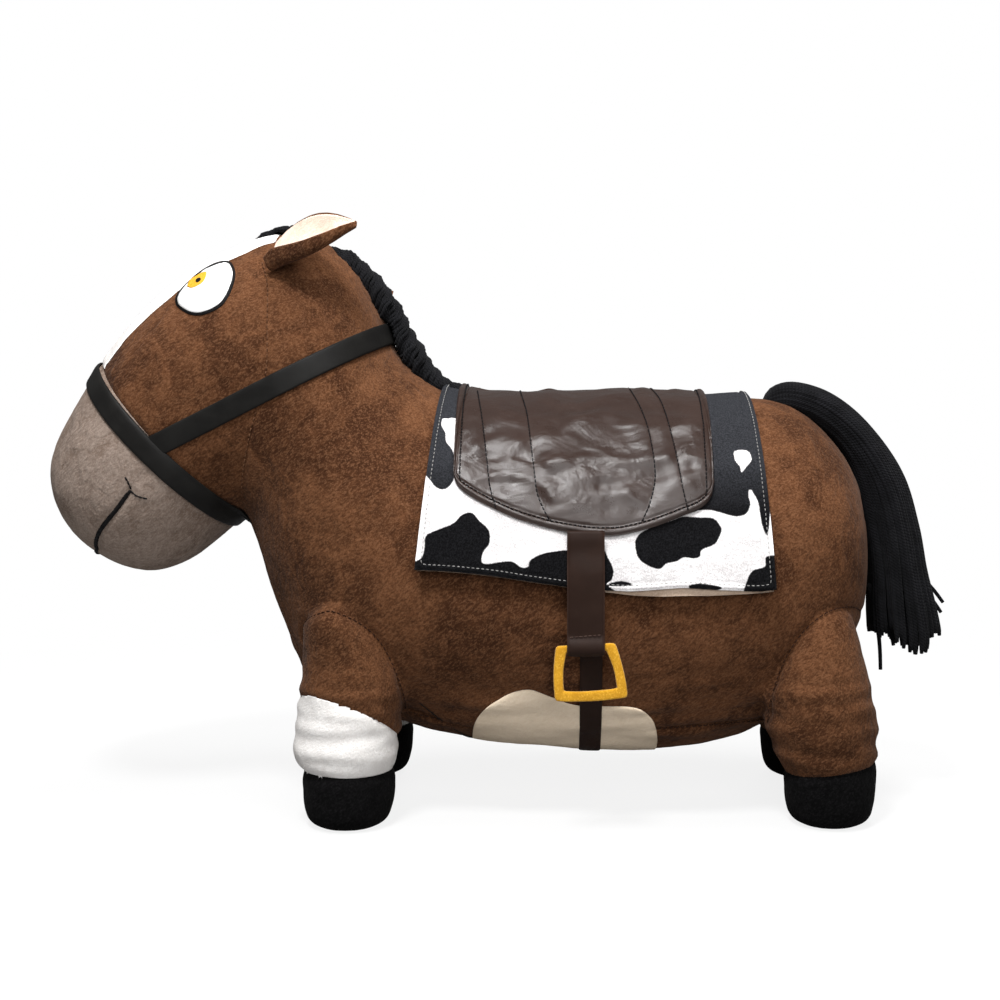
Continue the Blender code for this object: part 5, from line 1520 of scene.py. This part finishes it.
def stirrup_piece(side, sign):
    """A frame cut from thick felt, with rounded edges and slightly uneven bars."""
    top, low = HALF_TOP_BAR, HALF_TOP_BAR - STIRRUP_HEIGHT
    half_top = LEATHER_WIDTH / 2 + 0.0006
    half_low = half_top + 0.0045
    outer = np.array(((-half_top - BAR, top), (-half_low - BAR, low),
                      (half_low + BAR, low), (half_top + BAR, top)))
    hole = np.array(((-half_top, -top), (-half_low, low + BAR), (half_low, low + BAR), (half_top, -top)))
    bows = np.array(((-0.0013, 0), (0, -0.0012), (0.0013, 0), (0, 0)))
    rows = []
    for k in range(4):
        a, b, c, d = outer[k], outer[(k + 1) % 4], hole[k], hole[(k + 1) % 4]
        for t in np.linspace(0, 1, 41)[:-1]:
            s = t * t * (3 - 2 * t) if k % 2 else t
            bow = math.sin(math.pi * t) * bows[k]
            rows.append(np.r_[a + (b - a) * t + bow, c + (d - c) * s + bow])
    rows = evened(np.array(rows), 6, True)
    turns = np.linspace(0, math.tau, 25)[:-1]
    section = [(math.copysign(abs(math.cos(t)) ** 0.45, math.cos(t)),
                math.copysign(abs(math.sin(t)) ** 0.55, math.sin(t))) for t in turns]
    points = []
    for i, row in enumerate(rows):
        middle, half = (row[:2] + row[2:]) / 2, (row[:2] - row[2:]) / 2
        turn = math.tau * i / len(rows)
        half = half * (1 + 0.045 * wobble((math.cos(turn), math.sin(turn), 0.3), 2.4, 7.0))
        for s, n in section:
            x, z = middle + half * s
            y = -(LOOP_Y + 0.0020 * n * (1 + 0.05 * math.sin(6 * turn)))
            points.append((LEATHER_X + x - STIRRUP_LEAN * z, y * sign, LOOP_Z + z + STIRRUP_TILT * x))
    faces = ring_faces(len(rows), len(section), closed=True)
    obj = mesh_object(f"stirrup_felt_{side}", points, faces, YELLOW)
    riding(obj, f"stirrup_{side}", "yellow_felt", f"stirrup_{side}")


for side, sign in (("left", 1), ("right", -1)):
    leather_piece(side, sign)
    stirrup_piece(side, sign)


# Floor, light and camera. A lamp's row: its place, what it points at, its size and its power
LAMPS = {
    "key": ((-0.25, -1.00, 1.85), (0.0, 0.0, 0.25), 0.42, 36),
    "top": ((0.25, -0.15, 1.8), (0.0, 0.0, 0.2), 0.9, 22),
    "fill": ((0.40, -1.70, 0.95), (0.05, 0.0, 0.2), 1.1, 14),
    "back": ((0.2, 1.7, 1.2), (0.0, 0.0, 0.25), 1.4, 9),
}
PURE_WHITE = (1, 1, 1, 1)
FLOOR_Z, FLOOR_HALF = -0.0004, 9
FLOOR_GREY, FLOOR_PALE = (0.24, 0.24, 0.24, 1), (0.90, 0.90, 0.90, 1)


def wired_floor(tree):
    """A matt floor that fades to plain white away from the horse when it is seen directly."""
    tree.nodes.clear()
    direct = wired(tree, "LightPath", {}).outputs["Is Camera Ray"]
    place_on = wired(tree, "TexCoord", {}).outputs["Object"]
    away = wired(tree, "VectorMath", {0: place_on}, operation="LENGTH").outputs["Value"]
    fade = wired(tree, "MapRange", {"Value": away, "From Min": 0.30, "From Max": 0.80, "To Min": 0.84,
                                    "To Max": 1.0}, interpolation_type="SMOOTHSTEP").outputs["Result"]
    share = wired(tree, "Math", {0: direct, 1: fade}, operation="MULTIPLY").outputs[0]
    tone = wired(tree, "Mix", {0: direct, 6: FLOOR_GREY, 7: FLOOR_PALE}, data_type="RGBA").outputs[2]
    matt = wired(tree, "BsdfDiffuse", {"Color": tone}).outputs[0]
    glow = wired(tree, "Emission", {"Color": PURE_WHITE}).outputs[0]
    mixed = wired(tree, "MixShader", {0: share, 1: matt, 2: glow}).outputs[0]
    wired(tree, "OutputMaterial", {"Surface": mixed})


def wired_world(tree):
    """White where it is seen directly, and a dimmer white light from all sides."""
    tree.nodes.clear()
    direct = wired(tree, "LightPath", {}).outputs["Is Camera Ray"]
    sky, shown = (wired(tree, "Background", {"Color": PURE_WHITE, "Strength": strength}).outputs[0]
                  for strength in (0.20, 1.0))
    mixed = wired(tree, "MixShader", {0: direct, 1: sky, 2: shown}).outputs[0]
    wired(tree, "OutputWorld", {"Surface": mixed})


def stage_scene():
    """The floor, the world, the lamps and the camera."""
    corners = [(x * FLOOR_HALF, y * FLOOR_HALF, 0) for x, y in ((-1, -1), (1, -1), (1, 1), (-1, 1))]
    floor = bpy.data.meshes.new("floor")
    floor.from_pydata(corners, [], [(0, 1, 2, 3)])
    ground = linked("floor", floor)
    ground.location.z = FLOOR_Z
    pale = bpy.data.materials.new("pale_floor")
    world = bpy.data.worlds.new("studio")
    for owner, wire in ((pale, wired_floor), (world, wired_world)):
        owner.use_nodes = True
        wire(owner.node_tree)
    floor.materials.append(pale)
    SCENE.world = world
    for name, (where, aim, size, power) in LAMPS.items():
        lamp = bpy.data.lights.new(name, "AREA")
        lamp.energy, lamp.shape, lamp.size = power, "DISK", size
        obj = linked(name, lamp)
        obj.location = where
        obj.visible_glossy = name in ("key", "fill")
        obj.rotation_mode = "QUATERNION"
        obj.rotation_quaternion = (Vector(aim) - Vector(where)).to_track_quat("-Z", "Y")
    camera = bpy.data.cameras.new("photo_camera")
    camera.lens, camera.sensor_width = 60, 36
    camera.shift_x, camera.shift_y = -0.06, -0.15
    camera.clip_start, camera.clip_end = 0.05, 50
    holder = linked("photo_camera", camera)
    holder.location = EYE
    holder.rotation_euler = (math.pi / 2, 0, 0)
    SCENE.camera = holder


stage_scene()
SCENE.view_settings.view_transform = "Standard"
bpy.context.view_layer.update()
